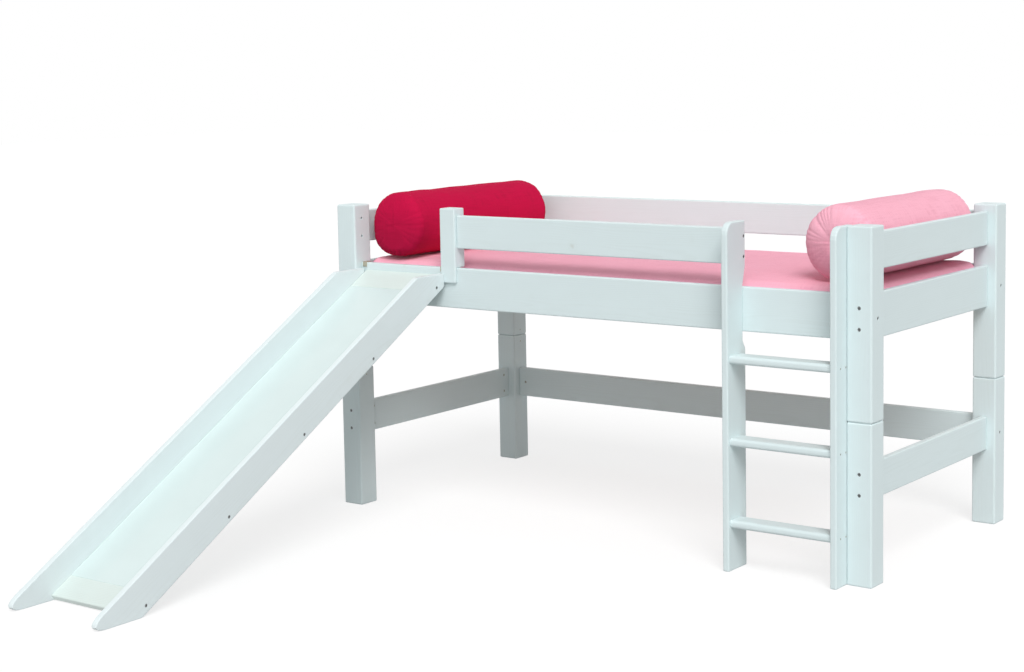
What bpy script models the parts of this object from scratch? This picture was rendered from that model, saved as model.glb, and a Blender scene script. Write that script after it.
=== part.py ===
"""Mid-high bed with a slide.

Four posts in two lengths, rails and end boards bolted between them, a slatted base, a ladder, a slide
that hangs on the front side rail, a mattress and two bolsters. Metres, +Z up. +X runs along the bed to
its right-hand end and +Y from the ladder side to the back. The origin is on the floor, under the middle
of the whole outline, slide included.
"""

import math

import bmesh
import bpy
from mathutils import Matrix, Vector

# Bed, overall
BED_LENGTH = 2.110
BED_WIDTH = 1.012
POST_HEIGHT = 1.089
SEAM_HEIGHT = 0.500
GUARD_DROP = 0.024
GUARD_SPACE = 0.068

# Timber
POST_SIDE = 0.083
BOARD_THICKNESS = 0.022
RAIL_HEIGHT = 0.140
GUARD_HEIGHT = 0.114
STRETCHER_HEIGHT = 0.114
STRETCHER_TOP = 0.369

# Fits, edges and cuts
FIT_GAP = 0.0003
CUT_OVERRUN = 0.010
POST_EDGE = 0.005
BOARD_EDGE = 0.004
HIDDEN_EDGE = 0.002
CORNER_OVER_EDGE = 0.002
SHOWN_STEPS = 2
HIDDEN_STEPS = 1
HOLE_SIDES = 12
BORE_SIDES = 8

# Bolts, barrel nuts and seam pins
BOLT_RADIUS = 0.0035
BOLT_REACH = 0.045
BOLT_PITCH = 0.064
HEAD_RADIUS = 0.006
HEAD_DEPTH = 0.010
NUT_RADIUS = 0.005
NUT_DEPTH = 0.016
NUT_INSET = 0.030
INSERT_RADIUS = 0.005
INSERT_DEPTH = 0.020
PIN_RADIUS = 0.010
PIN_LENGTH = 0.120
PIN_END_GAP = 0.002
PIN_EDGE = 0.0015
PIN_SIDES = 24
CROSS_RADIUS = 0.003
CROSS_DEPTH = 0.026
CROSS_ABOVE_SEAM = 0.020
CROSS_BELOW_SEAM = 0.026

# Slatted base
CLEAT_WIDTH = 0.022
CLEAT_HEIGHT = 0.018
CLEAT_RISE = 0.004
CLEAT_END_GAP = 0.012
SLAT_COUNT = 12
SLAT_WIDTH = 0.090
SLAT_THICKNESS = 0.015
SLAT_END_GAP = 0.004
SLAT_ROW_GAP = 0.010

# Ladder
LADDER_WIDTH = 0.393
STILE_THICKNESS = 0.022
STILE_DEPTH = 0.112
STILE_LAP = 0.016
STILE_TOP_RADIUS = 0.038
NOTCH_TOP_TAPER = 0.060
NOTCH_TOP_CLEAR = 0.003
NOTCH_TOP_RADIUS = 0.060
NOTCH_FOOT_CLEAR = 0.028
NOTCH_FOOT_TAPER = 0.026
NOTCH_FOOT_RADIUS = 0.012
GUARD_BOLT_INSET = 0.009
RUNG_COUNT = 3
RUNG_FIRST = 0.150
RUNG_TOP_DROP = 0.218
RUNG_DEPTH = 0.070
RUNG_THICKNESS = 0.026
RUNG_RADIUS = 0.010
RUNG_SETBACK = 0.0105
RUNG_HOUSING = 0.006
RUNG_SCREW_PITCH = 0.035
SCREW_RADIUS = 0.0035
SCREW_DEPTH = 0.004

# Guard support beside the slide
SUPPORT_WIDTH = 0.0645
SUPPORT_DEPTH = 0.056
SUPPORT_LIP = 0.012
SUPPORT_LAP = 0.052
SUPPORT_OVER_SIDE = 0.0165

# Slide
SLIDE_ANGLE = math.radians(30)
SLIDE_WIDTH = 0.390
SLIDE_POST_GAP = 0.002
SLIDE_DROP = 0.025
SLIDE_HEAD_DROP = 0.020
SIDE_THICKNESS = 0.022
SIDE_ABOVE = 0.082
SIDE_BELOW = 0.030
SIDE_TIP_RADIUS = 0.010
SIDE_HEAD_RADIUS = 0.030
PANEL_THICKNESS = 0.005
PANEL_GROOVE = 0.006
PANEL_EDGE = 0.001
TOP_BOARD_LENGTH = 0.100
FOOT_BOARD_LENGTH = 0.088
FOOT_NOSE_HEIGHT = 0.0175
FOOT_FLOOR_GAP = 0.003
FOOT_NOSE_RADIUS = 0.004
BATTEN_WIDTH = 0.060
BATTEN_THICKNESS = 0.016
END_BOARD_THICKNESS = 0.022
END_BOLT_BELOW = 0.008
SLIDE_BOLT_FIRST = 0.067
SLIDE_BOLT_LAST = 0.046
SLIDE_BOLT_COUNT = 5
SLIDE_HEAD_RADIUS = 0.0055
SLIDE_HEAD_SINK = 0.005
SLIDE_BOLT_REACH = 0.030
HOOK_STEEL = 0.003
HOOK_REACH = 0.050
HOOK_REACH_LEVEL = 0.020
HOOK_ABOVE_SURFACE = 0.002
HOOK_FOOT_HEIGHT = 0.014
HOOK_RISE = 0.006
HOOK_LEG = 0.006
HOOK_DROP_BACK = 0.025
HOOK_CORNER = 0.004

# Mattress
MATTRESS_THICKNESS = 0.1235
MATTRESS_GAP = 0.004
MATTRESS_CORNER_GAP = 0.004
MATTRESS_CORNER_STEPS = 7
MATTRESS_CROWN_RUN = 0.180
# Rings from the underside to the crown: way in from the outline, and height, both as shares
MATTRESS_INSET_SHARES = (0.25, 0.07, 0.012, 0.022, 0.03, 0.022, 0.010, 0.022, 0.07, 0.15, 0.28, 0.55, 1.0)
MATTRESS_HEIGHT_SHARES = (0.0, 0.03, 0.12, 0.30, 0.48, 0.66, 0.80, 0.875, 0.925, 0.952, 0.968, 0.985, 1.0)

# Bolsters
BOLSTER_LEFT_RADIUS = 0.118
BOLSTER_RIGHT_RADIUS = 0.122
BOLSTER_FLAT = 0.006
# For each bolster: room at the head board, at the front edge and at the back edge of the mattress
BOLSTER_LEFT_ROOM = (0.022, 0.008, 0.090)
BOLSTER_RIGHT_ROOM = (0.010, 0.046, 0.038)
BOLSTER_SIDES = 48
BOLSTER_PLEATS = 12
BOLSTER_PLEAT_SHARE = 0.035
# End profile from the drawn-in middle to the full section: along the axis, and radius as a share
BOLSTER_END_STATIONS = (0.014, 0.005, 0.0, 0.002, 0.011, 0.030, 0.060)
BOLSTER_END_RADIUS_SHARES = (0.10, 0.30, 0.58, 0.78, 0.91, 0.98, 1.0)
BOLSTER_MIDDLE_RINGS = 4

# Places that follow from the sizes above. Depths are measured back from the front faces of the posts.
HALF_LENGTH = BED_LENGTH / 2
SMALL_CORNER = BOARD_EDGE + CORNER_OVER_EDGE
BOARD_INSET = (POST_SIDE - BOARD_THICKNESS) / 2
GUARD_TOP = POST_HEIGHT - GUARD_DROP
GUARD_BOTTOM = GUARD_TOP - GUARD_HEIGHT
RAIL_TOP = GUARD_BOTTOM - GUARD_SPACE
RAIL_BOTTOM = RAIL_TOP - RAIL_HEIGHT
RAIL_BOLT_HEIGHT = RAIL_TOP - RAIL_HEIGHT / 2
GUARD_MIDDLE = GUARD_TOP - GUARD_HEIGHT / 2
STRETCHER_BOTTOM = STRETCHER_TOP - STRETCHER_HEIGHT
STRETCHER_MIDDLE = STRETCHER_TOP - STRETCHER_HEIGHT / 2
SLOPE = math.tan(SLIDE_ANGLE)
SLIDE_START = RAIL_TOP - SLIDE_DROP
FOOT_BOARD_END = (SLIDE_START - FOOT_NOSE_HEIGHT) / math.sin(SLIDE_ANGLE)
FOOT_BOARD_START = FOOT_BOARD_END - FOOT_BOARD_LENGTH
SIDE_TOP_START = SLIDE_START + SIDE_ABOVE / math.cos(SLIDE_ANGLE)
SIDE_LOW_START = SLIDE_START - SIDE_BELOW / math.cos(SLIDE_ANGLE)
SIDE_END_REACH = SUPPORT_LIP + FIT_GAP
TIP_REACH = SIDE_TOP_START / SLOPE
TIP_SETBACK = SIDE_TIP_RADIUS * (1 / math.tan(SLIDE_ANGLE / 2) - 1)
SLIDE_REACH = TIP_REACH - TIP_SETBACK - BOARD_INSET
FRONT_Y = (SLIDE_REACH - BED_WIDTH) / 2
BACK_Y = FRONT_Y + BED_WIDTH
RAIL_FRONT_Y = FRONT_Y + BOARD_INSET
RAIL_BACK_Y = RAIL_FRONT_Y + BOARD_THICKNESS
BOLT_Y = FRONT_Y + POST_SIDE / 2
BOLT_X = HALF_LENGTH - POST_SIDE / 2
INNER_X = BOLT_X - BOARD_THICKNESS / 2
INNER_BACK_Y = BACK_Y - BOARD_INSET - BOARD_THICKNESS
POST_INNER_X = HALF_LENGTH - POST_SIDE
STILE_BACK_Y = RAIL_FRONT_Y + STILE_LAP
STILE_FRONT_Y = STILE_BACK_Y - STILE_DEPTH
GUARD_BOLT_Y = STILE_BACK_Y - GUARD_BOLT_INSET
SUPPORT_FRONT_Y = RAIL_FRONT_Y - SUPPORT_LIP
SUPPORT_BACK_Y = SUPPORT_FRONT_Y + SUPPORT_DEPTH
SLAT_BOTTOM = RAIL_BOTTOM + CLEAT_RISE + CLEAT_HEIGHT + FIT_GAP
MATTRESS_BOTTOM = SLAT_BOTTOM + SLAT_THICKNESS + FIT_GAP
MATTRESS_TOP = MATTRESS_BOTTOM + MATTRESS_THICKNESS
MATTRESS_FRONT_Y = SUPPORT_BACK_Y + MATTRESS_GAP
MATTRESS_BACK_Y = INNER_BACK_Y - MATTRESS_GAP
MATTRESS_END_X = INNER_X - MATTRESS_GAP
POST_INTRUSION = POST_SIDE - BOARD_INSET - BOARD_THICKNESS - MATTRESS_GAP
POST_INTRUSION_FRONT = FRONT_Y + POST_SIDE - MATTRESS_FRONT_Y
STILE_RIGHT_X = POST_INNER_X - FIT_GAP
STILE_LEFT_X = STILE_RIGHT_X - LADDER_WIDTH
SLIDE_LEFT_X = SLIDE_POST_GAP - POST_INNER_X
SLIDE_RIGHT_X = SLIDE_LEFT_X + SLIDE_WIDTH
SUPPORT_X = SLIDE_RIGHT_X - SUPPORT_OVER_SIDE

PARTS = "loft_bed_with_slide"
CUTTERS = "cutters"


# Materials


def finish(name, colour, roughness, metallic=0.0):
    """Principled material of one colour, made once."""
    material = bpy.data.materials.get(name)
    if material:
        return material
    material = bpy.data.materials.new(name)
    material.use_nodes = True
    shader = material.node_tree.nodes["Principled BSDF"]
    shader.inputs["Base Color"].default_value = (*colour, 1.0)
    shader.inputs["Roughness"].default_value = roughness
    shader.inputs["Metallic"].default_value = metallic
    material.diffuse_color = (*colour, 1.0)
    return material


def white_paint():
    return finish("white_paint", (0.78, 0.82, 0.81), 0.42)


def panel_gloss():
    return finish("panel_gloss", (0.83, 0.90, 0.89), 0.22)


def cream_paint():
    return finish("cream_paint", (0.82, 0.86, 0.80), 0.40)


def raw_pine():
    return finish("raw_pine", (0.72, 0.54, 0.34), 0.62)


def zinc_steel():
    return finish("zinc_steel", (0.55, 0.54, 0.50), 0.38, 1.0)


def pink_cover():
    return finish("pink_cover", (0.93, 0.36, 0.46), 0.85)


def pale_pink_cover():
    return finish("pale_pink_cover", (0.94, 0.42, 0.52), 0.85)


def crimson_cover():
    return finish("crimson_cover", (0.50, 0.012, 0.06), 0.80)


# Building blocks


def collection(name):
    found = bpy.data.collections.get(name)
    if not found:
        found = bpy.data.collections.new(name)
        bpy.context.scene.collection.children.link(found)
    return found


def new_object(name, bm, material=None, place=PARTS):
    """Object that holds the bmesh, put in its collection."""
    mesh = bpy.data.meshes.new(name)
    bm.to_mesh(mesh)
    bm.free()
    found = bpy.data.objects.new(name, mesh)
    collection(place).objects.link(found)
    if material:
        mesh.materials.append(material)
    return found


def round_edges(target, width, steps):
    bevel = target.modifiers.new("rounded_edges", "BEVEL")
    bevel.width = width
    bevel.segments = steps
    bevel.limit_method = "ANGLE"
    bevel.angle_limit = math.radians(30)
    bevel.use_clamp_overlap = True


def box(name, low, high, material, edge=BOARD_EDGE, steps=SHOWN_STEPS):
    """Board or post between two corners, with rounded edges."""
    low, high = Vector(low), Vector(high)
    bm = bmesh.new()
    bmesh.ops.create_cube(bm, size=1, matrix=Matrix.Diagonal((*(high - low), 1)))
    board = new_object(name, bm, material)
    board.location = (low + high) / 2
    round_edges(board, edge, steps)
    return board


def as_cutter(cutter):
    cutter.hide_render = True
    cutter.display_type = "WIRE"
    return cutter


def cut(target, cutter):
    boolean = target.modifiers.new(cutter.name, "BOOLEAN")
    boolean.operation = "DIFFERENCE"
    boolean.solver = "EXACT"
    boolean.object = cutter


def drill(target, point, axis, radius, depth, sides=HOLE_SIDES):
    """Round hole that enters the target at a point of its surface and runs in along the axis."""
    axis = Vector(axis).normalized()
    bm = bmesh.new()
    bmesh.ops.create_cone(
        bm,
        cap_ends=True,
        segments=sides,
        radius1=radius,
        radius2=radius,
        depth=depth + CUT_OVERRUN,
    )
    cutter = as_cutter(new_object(f"{target.name}_hole", bm, place=CUTTERS))
    cutter.location = Vector(point) + axis * (depth - CUT_OVERRUN) / 2
    cutter.rotation_mode = "QUATERNION"
    cutter.rotation_quaternion = Vector((0, 0, 1)).rotation_difference(axis)
    cut(target, cutter)


def drill_for_bolt(target, point, axis, thickness, head=HEAD_RADIUS, sink=HEAD_DEPTH):
    """Clearance hole right through, with a wider seat for the head where it enters."""
    drill(target, point, axis, BOLT_RADIUS, thickness + CUT_OVERRUN, BORE_SIDES)
    drill(target, point, axis, head, sink)


def rounded(corners):
    """Outline whose corners, given as (y, z, radius), are turned into arcs where the radius isn't zero."""
    outline = []
    count = len(corners)
    for index, (y, z, radius) in enumerate(corners):
        here = Vector((y, z))
        if radius == 0:
            outline.append(here)
            continue
        before = (Vector(corners[index - 1][:2]) - here).normalized()
        after = (Vector(corners[(index + 1) % count][:2]) - here).normalized()
        half = math.acos(max(-1, min(1, before.dot(after)))) / 2
        turn = math.pi - 2 * half
        centre = here + (before + after).normalized() * radius / math.sin(half)
        start = here + before * radius / math.tan(half) - centre
        way = 1 if start.cross(before) < 0 else -1
        steps = max(2, math.ceil(turn / math.radians(20)))
        for step in range(steps + 1):
            angle = way * turn * step / steps
            outline.append(centre + Matrix.Rotation(angle, 2) @ start)
    return outline


def prism(name, outline, x_low, x_high, material=None, edge=0, steps=SHOWN_STEPS, place=PARTS):
    """Solid with a (y, z) outline between two x positions: a flat filled curve, turned to face +X."""
    curve = bpy.data.curves.new(name, "CURVE")
    curve.dimensions = "2D"
    curve.fill_mode = "BOTH"
    curve.extrude = (x_high - x_low) / 2
    spline = curve.splines.new("POLY")
    spline.points.add(len(outline) - 1)
    for point, (y, z) in zip(spline.points, outline):
        point.co = (y, z, 0, 1)
    spline.use_cyclic_u = True
    flat = bpy.data.objects.new(f"{name}_curve", curve)
    collection(place).objects.link(flat)
    flat.rotation_euler = (math.radians(90), 0, math.radians(90))
    flat.location = ((x_low + x_high) / 2, 0, 0)
    bpy.context.view_layer.update()
    evaluated = flat.evaluated_get(bpy.context.evaluated_depsgraph_get())
    mesh = bpy.data.meshes.new_from_object(evaluated)
    bm = bmesh.new()
    bm.from_mesh(mesh)
    bpy.data.meshes.remove(mesh)
    bmesh.ops.remove_doubles(bm, verts=bm.verts, dist=FIT_GAP / 10)
    bmesh.ops.dissolve_limit(bm, angle_limit=math.radians(1), verts=bm.verts, edges=bm.edges)
    bmesh.ops.recalc_face_normals(bm, faces=bm.faces)
    solid = new_object(name, bm, material, place)
    solid.matrix_world = flat.matrix_world
    bpy.data.objects.remove(flat)
    if edge:
        round_edges(solid, edge, steps)
    return solid


def loft(name, rings, material):
    """Closed solid through rings of equal point counts, capped at both ends."""
    bm = bmesh.new()
    levels = [[bm.verts.new(point) for point in ring] for ring in rings]
    for lower, upper in zip(levels, levels[1:]):
        for index in range(len(lower)):
            following = (index + 1) % len(lower)
            bm.faces.new((lower[index], lower[following], upper[following], upper[index]))
    bm.faces.new(reversed(levels[0]))
    bm.faces.new(levels[-1])
    bmesh.ops.recalc_face_normals(bm, faces=bm.faces)
    soft = new_object(name, bm, material)
    soft.data.shade_smooth()
    return soft


# Posts and legs

SIDES = (("left", -1), ("right", 1))
DEPTHS = (("front", 1), ("back", -1))


def post_corner(side, depth):
    """Centre of a post in plan. depth is 1 at the front and -1 at the back."""
    y = FRONT_Y + POST_SIDE / 2 if depth > 0 else BACK_Y - POST_SIDE / 2
    return side * BOLT_X, y


def outer_face_y(depth):
    return FRONT_Y if depth > 0 else BACK_Y


def pair_heights(middle):
    return middle - BOLT_PITCH / 2, middle + BOLT_PITCH / 2


def pin_bore(target, x, y, up):
    """Bore for half the seam pin, from the seam into the post above or the leg below."""
    depth = PIN_LENGTH / 2 + PIN_END_GAP
    drill(target, (x, y, SEAM_HEIGHT), (0, 0, up), PIN_RADIUS + FIT_GAP, depth, PIN_SIDES)


def cross_hole(target, x, y, side, height):
    """Blind hole for the cross screw, in the face that looks along the bed."""
    inner_x = x - side * POST_SIDE / 2
    drill(target, (inner_x, y, height), (side, 0, 0), CROSS_RADIUS, CROSS_DEPTH)


def make_post(side_name, side, depth_name, depth):
    x, y = post_corner(side, depth)
    half = POST_SIDE / 2
    post = box(
        f"post_{depth_name}_{side_name}",
        (x - half, y - half, SEAM_HEIGHT + FIT_GAP),
        (x + half, y + half, POST_HEIGHT),
        white_paint(),
        POST_EDGE,
    )
    pin_bore(post, x, y, 1)
    for height in pair_heights(RAIL_BOLT_HEIGHT):
        drill_for_bolt(post, (x, outer_face_y(depth), height), (0, depth, 0), POST_SIDE)
    drill_for_bolt(post, (side * HALF_LENGTH, y, RAIL_BOLT_HEIGHT), (-side, 0, 0), POST_SIDE)
    if depth > 0:
        for height in pair_heights(GUARD_MIDDLE):
            entry = (side * POST_INNER_X, GUARD_BOLT_Y, height)
            drill(post, entry, (side, 0, 0), INSERT_RADIUS, INSERT_DEPTH)
    cross_hole(post, x, y, side, SEAM_HEIGHT + CROSS_ABOVE_SEAM)


def make_leg(side_name, side, depth_name, depth):
    x, y = post_corner(side, depth)
    half = POST_SIDE / 2
    leg = box(
        f"leg_{depth_name}_{side_name}",
        (x - half, y - half, 0),
        (x + half, y + half, SEAM_HEIGHT),
        white_paint(),
        POST_EDGE,
    )
    pin_bore(leg, x, y, -1)
    for height in pair_heights(STRETCHER_MIDDLE):
        drill_for_bolt(leg, (x, outer_face_y(depth), height), (0, depth, 0), POST_SIDE)
    if depth < 0:
        drill_for_bolt(leg, (side * HALF_LENGTH, y, STRETCHER_MIDDLE), (-side, 0, 0), POST_SIDE)
    cross_hole(leg, x, y, side, SEAM_HEIGHT - CROSS_BELOW_SEAM)


def make_seam_pin(side_name, side, depth_name, depth):
    """Dowel that joins a post to its leg: a turned profile, chamfered at both ends."""
    x, y = post_corner(side, depth)
    half = PIN_LENGTH / 2
    profile = (
        (0, half),
        (PIN_RADIUS - PIN_EDGE, half),
        (PIN_RADIUS, half - PIN_EDGE),
        (PIN_RADIUS, PIN_EDGE - half),
        (PIN_RADIUS - PIN_EDGE, -half),
        (0, -half),
    )
    bm = bmesh.new()
    points = [bm.verts.new((radius, 0, height)) for radius, height in profile]
    for first, second in zip(points, points[1:]):
        bm.edges.new((first, second))
    pin = new_object(f"seam_pin_{depth_name}_{side_name}", bm, raw_pine())
    screw = pin.modifiers.new("turned", "SCREW")
    screw.axis = "Z"
    screw.steps = PIN_SIDES
    screw.render_steps = PIN_SIDES
    screw.use_merge_vertices = True
    screw.merge_threshold = 0.0001
    pin.location = (x, y, SEAM_HEIGHT)


# Boards between the posts


def end_bores(board, side, heights):
    """Bolt bores in the ends of an end board, and the barrel nuts' bores in its inner face."""
    x = side * BOLT_X
    inner_x = side * INNER_X
    for _, depth in DEPTHS:
        end_y = FRONT_Y + POST_SIDE + FIT_GAP if depth > 0 else BACK_Y - POST_SIDE - FIT_GAP
        for height in heights:
            drill(board, (x, end_y, height), (0, depth, 0), BOLT_RADIUS, BOLT_REACH, BORE_SIDES)
            nut = (inner_x, end_y + depth * NUT_INSET, height)
            drill(board, nut, (side, 0, 0), NUT_RADIUS, NUT_DEPTH)


def make_end_board(name, side, bottom, top, bolt_height=None):
    """Board between the front and the back post, with a pair of bolts at each end if it's bolted."""
    half = BOARD_THICKNESS / 2
    x = side * BOLT_X
    board = box(
        name,
        (x - half, FRONT_Y + POST_SIDE + FIT_GAP, bottom),
        (x + half, BACK_Y - POST_SIDE - FIT_GAP, top),
        white_paint(),
    )
    if bolt_height:
        end_bores(board, side, pair_heights(bolt_height))


def make_long_board(name, y, bottom, top, inward, bolt_height=None):
    """Board from the left posts to the right posts. inward is 1 when the bed lies behind it."""
    half = BOARD_THICKNESS / 2
    end = POST_INNER_X - FIT_GAP
    board = box(name, (-end, y - half, bottom), (end, y + half, top), white_paint())
    if bolt_height:
        for _, side in SIDES:
            entry = (side * end, y, bolt_height)
            drill(board, entry, (-side, 0, 0), BOLT_RADIUS, BOLT_REACH, BORE_SIDES)
            nut = (side * (end - NUT_INSET), y + inward * half, bolt_height)
            drill(board, nut, (0, -inward, 0), NUT_RADIUS, NUT_DEPTH)


def make_frame_boards():
    back_line = BACK_Y - POST_SIDE / 2
    rail = (RAIL_BOTTOM, RAIL_TOP)
    guard = (GUARD_BOTTOM, GUARD_TOP)
    stretcher = (STRETCHER_BOTTOM, STRETCHER_TOP)
    make_long_board("side_rail_front", BOLT_Y, *rail, 1, RAIL_BOLT_HEIGHT)
    make_long_board("side_rail_back", back_line, *rail, -1, RAIL_BOLT_HEIGHT)
    make_long_board("guard_rail_back", back_line, *guard, -1)
    make_long_board("stretcher_back", back_line, *stretcher, -1, STRETCHER_MIDDLE)
    for side_name, side in SIDES:
        make_end_board(f"end_guard_{side_name}", side, *guard)
        make_end_board(f"end_rail_{side_name}", side, *rail, RAIL_BOLT_HEIGHT)
        make_end_board(f"end_stretcher_{side_name}", side, *stretcher, STRETCHER_MIDDLE)


def make_guard_support():
    """Short post beside the slide: it stands on the side rail and laps its front face."""
    front, back = SUPPORT_FRONT_Y, SUPPORT_BACK_Y
    lap_back = RAIL_FRONT_Y - FIT_GAP
    seat = RAIL_TOP + FIT_GAP
    outline = rounded(
        (
            (front, RAIL_TOP - SUPPORT_LAP, 0),
            (lap_back, RAIL_TOP - SUPPORT_LAP, 0),
            (lap_back, seat, 0),
            (back, seat, 0),
            (back, POST_HEIGHT, 0),
            (front, POST_HEIGHT, 0),
        )
    )
    support = prism(
        "guard_support", outline, SUPPORT_X, SUPPORT_X + SUPPORT_WIDTH, white_paint(), BOARD_EDGE
    )
    for height in pair_heights(GUARD_MIDDLE):
        entry = (SUPPORT_X, GUARD_BOLT_Y, height)
        drill_for_bolt(support, entry, (1, 0, 0), SUPPORT_WIDTH)


def make_front_guard():
    low_x = SUPPORT_X + SUPPORT_WIDTH + FIT_GAP
    high_x = STILE_LEFT_X - FIT_GAP
    guard = box(
        "guard_rail_front",
        (low_x, RAIL_FRONT_Y, GUARD_BOTTOM),
        (high_x, RAIL_BACK_Y, GUARD_TOP),
        white_paint(),
    )
    for end_x, way in ((low_x, 1), (high_x, -1)):
        for height in pair_heights(GUARD_MIDDLE):
            entry = (end_x, GUARD_BOLT_Y, height)
            drill(guard, entry, (way, 0, 0), BOLT_RADIUS, BOLT_REACH, BORE_SIDES)
            nut = (end_x + way * NUT_INSET, RAIL_BACK_Y, height)
            drill(guard, nut, (0, -1, 0), NUT_RADIUS, NUT_DEPTH)


# Slatted base


def make_cleats():
    end = POST_INNER_X - CLEAT_END_GAP
    bottom = RAIL_BOTTOM + CLEAT_RISE
    runs = (
        ("slat_cleat_front", RAIL_BACK_Y + FIT_GAP),
        ("slat_cleat_back", INNER_BACK_Y - FIT_GAP - CLEAT_WIDTH),
    )
    for name, near_y in runs:
        low = (-end, near_y, bottom)
        high = (end, near_y + CLEAT_WIDTH, bottom + CLEAT_HEIGHT)
        box(name, low, high, raw_pine(), HIDDEN_EDGE, HIDDEN_STEPS)


def make_slats():
    near_y = RAIL_BACK_Y + SLAT_END_GAP
    far_y = INNER_BACK_Y - SLAT_END_GAP
    first = SLAT_ROW_GAP - POST_INNER_X
    pitch = (-2 * first - SLAT_WIDTH) / (SLAT_COUNT - 1)
    for index in range(SLAT_COUNT):
        x = first + index * pitch
        low = (x, near_y, SLAT_BOTTOM)
        high = (x + SLAT_WIDTH, far_y, SLAT_BOTTOM + SLAT_THICKNESS)
        box(f"slat_{index + 1:02d}", low, high, raw_pine(), HIDDEN_EDGE, HIDDEN_STEPS)


# Ladder


def rung_outline(height, clearance=0.0):
    """Rounded section of a rung, let out all round by the clearance where it cuts its housing."""
    front = STILE_FRONT_Y + RUNG_SETBACK - clearance
    back = front + RUNG_DEPTH + 2 * clearance
    half = RUNG_THICKNESS / 2 + clearance
    corners = ((front, -half), (back, -half), (back, half), (front, half))
    return rounded([(y, height + z, RUNG_RADIUS + clearance) for y, z in corners])


def rung_heights():
    """Even steps from the first rung up to the last, which lies below the top of the side rail."""
    step = (RAIL_TOP - RUNG_TOP_DROP - RUNG_FIRST) / (RUNG_COUNT - 1)
    return [RUNG_FIRST + index * step for index in range(RUNG_COUNT)]


def stile_outline():
    """Side view of a stile: a round top corner, and a hollow behind where it passes the side rail."""
    front, back = STILE_FRONT_Y, STILE_BACK_Y
    hollow = RAIL_FRONT_Y - FIT_GAP
    hollow_top = RAIL_TOP + NOTCH_TOP_CLEAR
    hollow_foot = RAIL_BOTTOM - NOTCH_FOOT_CLEAR
    return rounded(
        (
            (front, 0, 0),
            (back, 0, 0),
            (back, hollow_foot - NOTCH_FOOT_TAPER, NOTCH_FOOT_RADIUS),
            (hollow, hollow_foot, NOTCH_FOOT_RADIUS),
            (hollow, hollow_top, NOTCH_FOOT_RADIUS),
            (back, hollow_top + NOTCH_TOP_TAPER, NOTCH_TOP_RADIUS),
            (back, POST_HEIGHT, SMALL_CORNER),
            (front, POST_HEIGHT, STILE_TOP_RADIUS),
        )
    )


def make_stile(side_name, low_x, inward):
    """Ladder stile. inward is the way to the other stile: 1 on the left stile, -1 on the right."""
    high_x = low_x + STILE_THICKNESS
    stile = prism(
        f"ladder_stile_{side_name}", stile_outline(), low_x, high_x, white_paint(), BOARD_EDGE
    )
    inner_x, outer_x = (high_x, low_x) if inward > 0 else (low_x, high_x)
    for height in rung_heights():
        reach = sorted((inner_x - inward * RUNG_HOUSING, inner_x + inward * CUT_OVERRUN))
        housing = prism(
            f"rung_housing_{side_name}", rung_outline(height, FIT_GAP), *reach, place=CUTTERS
        )
        cut(stile, as_cutter(housing))
        middle_y = STILE_FRONT_Y + RUNG_SETBACK + RUNG_DEPTH / 2
        for way in (-1, 1):
            entry = (outer_x, middle_y + way * RUNG_SCREW_PITCH / 2, height)
            drill(stile, entry, (inward, 0, 0), SCREW_RADIUS, SCREW_DEPTH)
    for height in pair_heights(GUARD_MIDDLE):
        entry = (inner_x, GUARD_BOLT_Y, height)
        drill_for_bolt(stile, entry, (-inward, 0, 0), STILE_THICKNESS)


def make_ladder():
    make_stile("left", STILE_LEFT_X, 1)
    make_stile("right", STILE_RIGHT_X - STILE_THICKNESS, -1)
    seat = STILE_THICKNESS - RUNG_HOUSING + FIT_GAP
    for index, height in enumerate(rung_heights(), 1):
        low_x, high_x = STILE_LEFT_X + seat, STILE_RIGHT_X - seat
        prism(f"ladder_rung_{index}", rung_outline(height), low_x, high_x, white_paint())


# Slide. Its own directions: reach is level and away from the side rail, along is down the slope.


def slide_point(along, below=0.0):
    """(y, z) of a point so far down the slope from the rail and so far square below the surface."""
    sine, cosine = math.sin(SLIDE_ANGLE), math.cos(SLIDE_ANGLE)
    reach = along * cosine - below * sine
    height = SLIDE_START - along * sine - below * cosine
    return RAIL_FRONT_Y - reach, height


def along_at_reach(reach, below):
    """How far down the slope a point at this reach and depth below the surface lies."""
    return (reach + below * math.sin(SLIDE_ANGLE)) / math.cos(SLIDE_ANGLE)


def side_outline():
    """Side board: level head, end square in front of the rail, parallel slope, flat foot, round tip."""
    head = RAIL_TOP - SLIDE_HEAD_DROP
    corners = (
        (SIDE_END_REACH, SIDE_LOW_START - SIDE_END_REACH * SLOPE, SMALL_CORNER),
        (SIDE_END_REACH, head, SMALL_CORNER),
        ((SIDE_TOP_START - head) / SLOPE, head, SIDE_HEAD_RADIUS),
        (TIP_REACH, 0, SIDE_TIP_RADIUS),
        (SIDE_LOW_START / SLOPE, 0, SMALL_CORNER),
    )
    return rounded([(RAIL_FRONT_Y - reach, height, radius) for reach, height, radius in corners])


def bolt_alongs():
    """Even steps down the slope, from the bolt in the top board to the bolt in the foot board."""
    step = (FOOT_BOARD_END - SLIDE_BOLT_LAST - SLIDE_BOLT_FIRST) / (SLIDE_BOLT_COUNT - 1)
    return [SLIDE_BOLT_FIRST + index * step for index in range(SLIDE_BOLT_COUNT)]


def slide_bolt_places():
    """(y, z) of the bolts: the first and last in the end boards, the others in the battens."""
    places = []
    for index, along in enumerate(bolt_alongs()):
        at_end = index in (0, SLIDE_BOLT_COUNT - 1)
        below = END_BOLT_BELOW if at_end else PANEL_THICKNESS + FIT_GAP + BATTEN_THICKNESS / 2
        places.append(slide_point(along, below))
    return places


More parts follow.
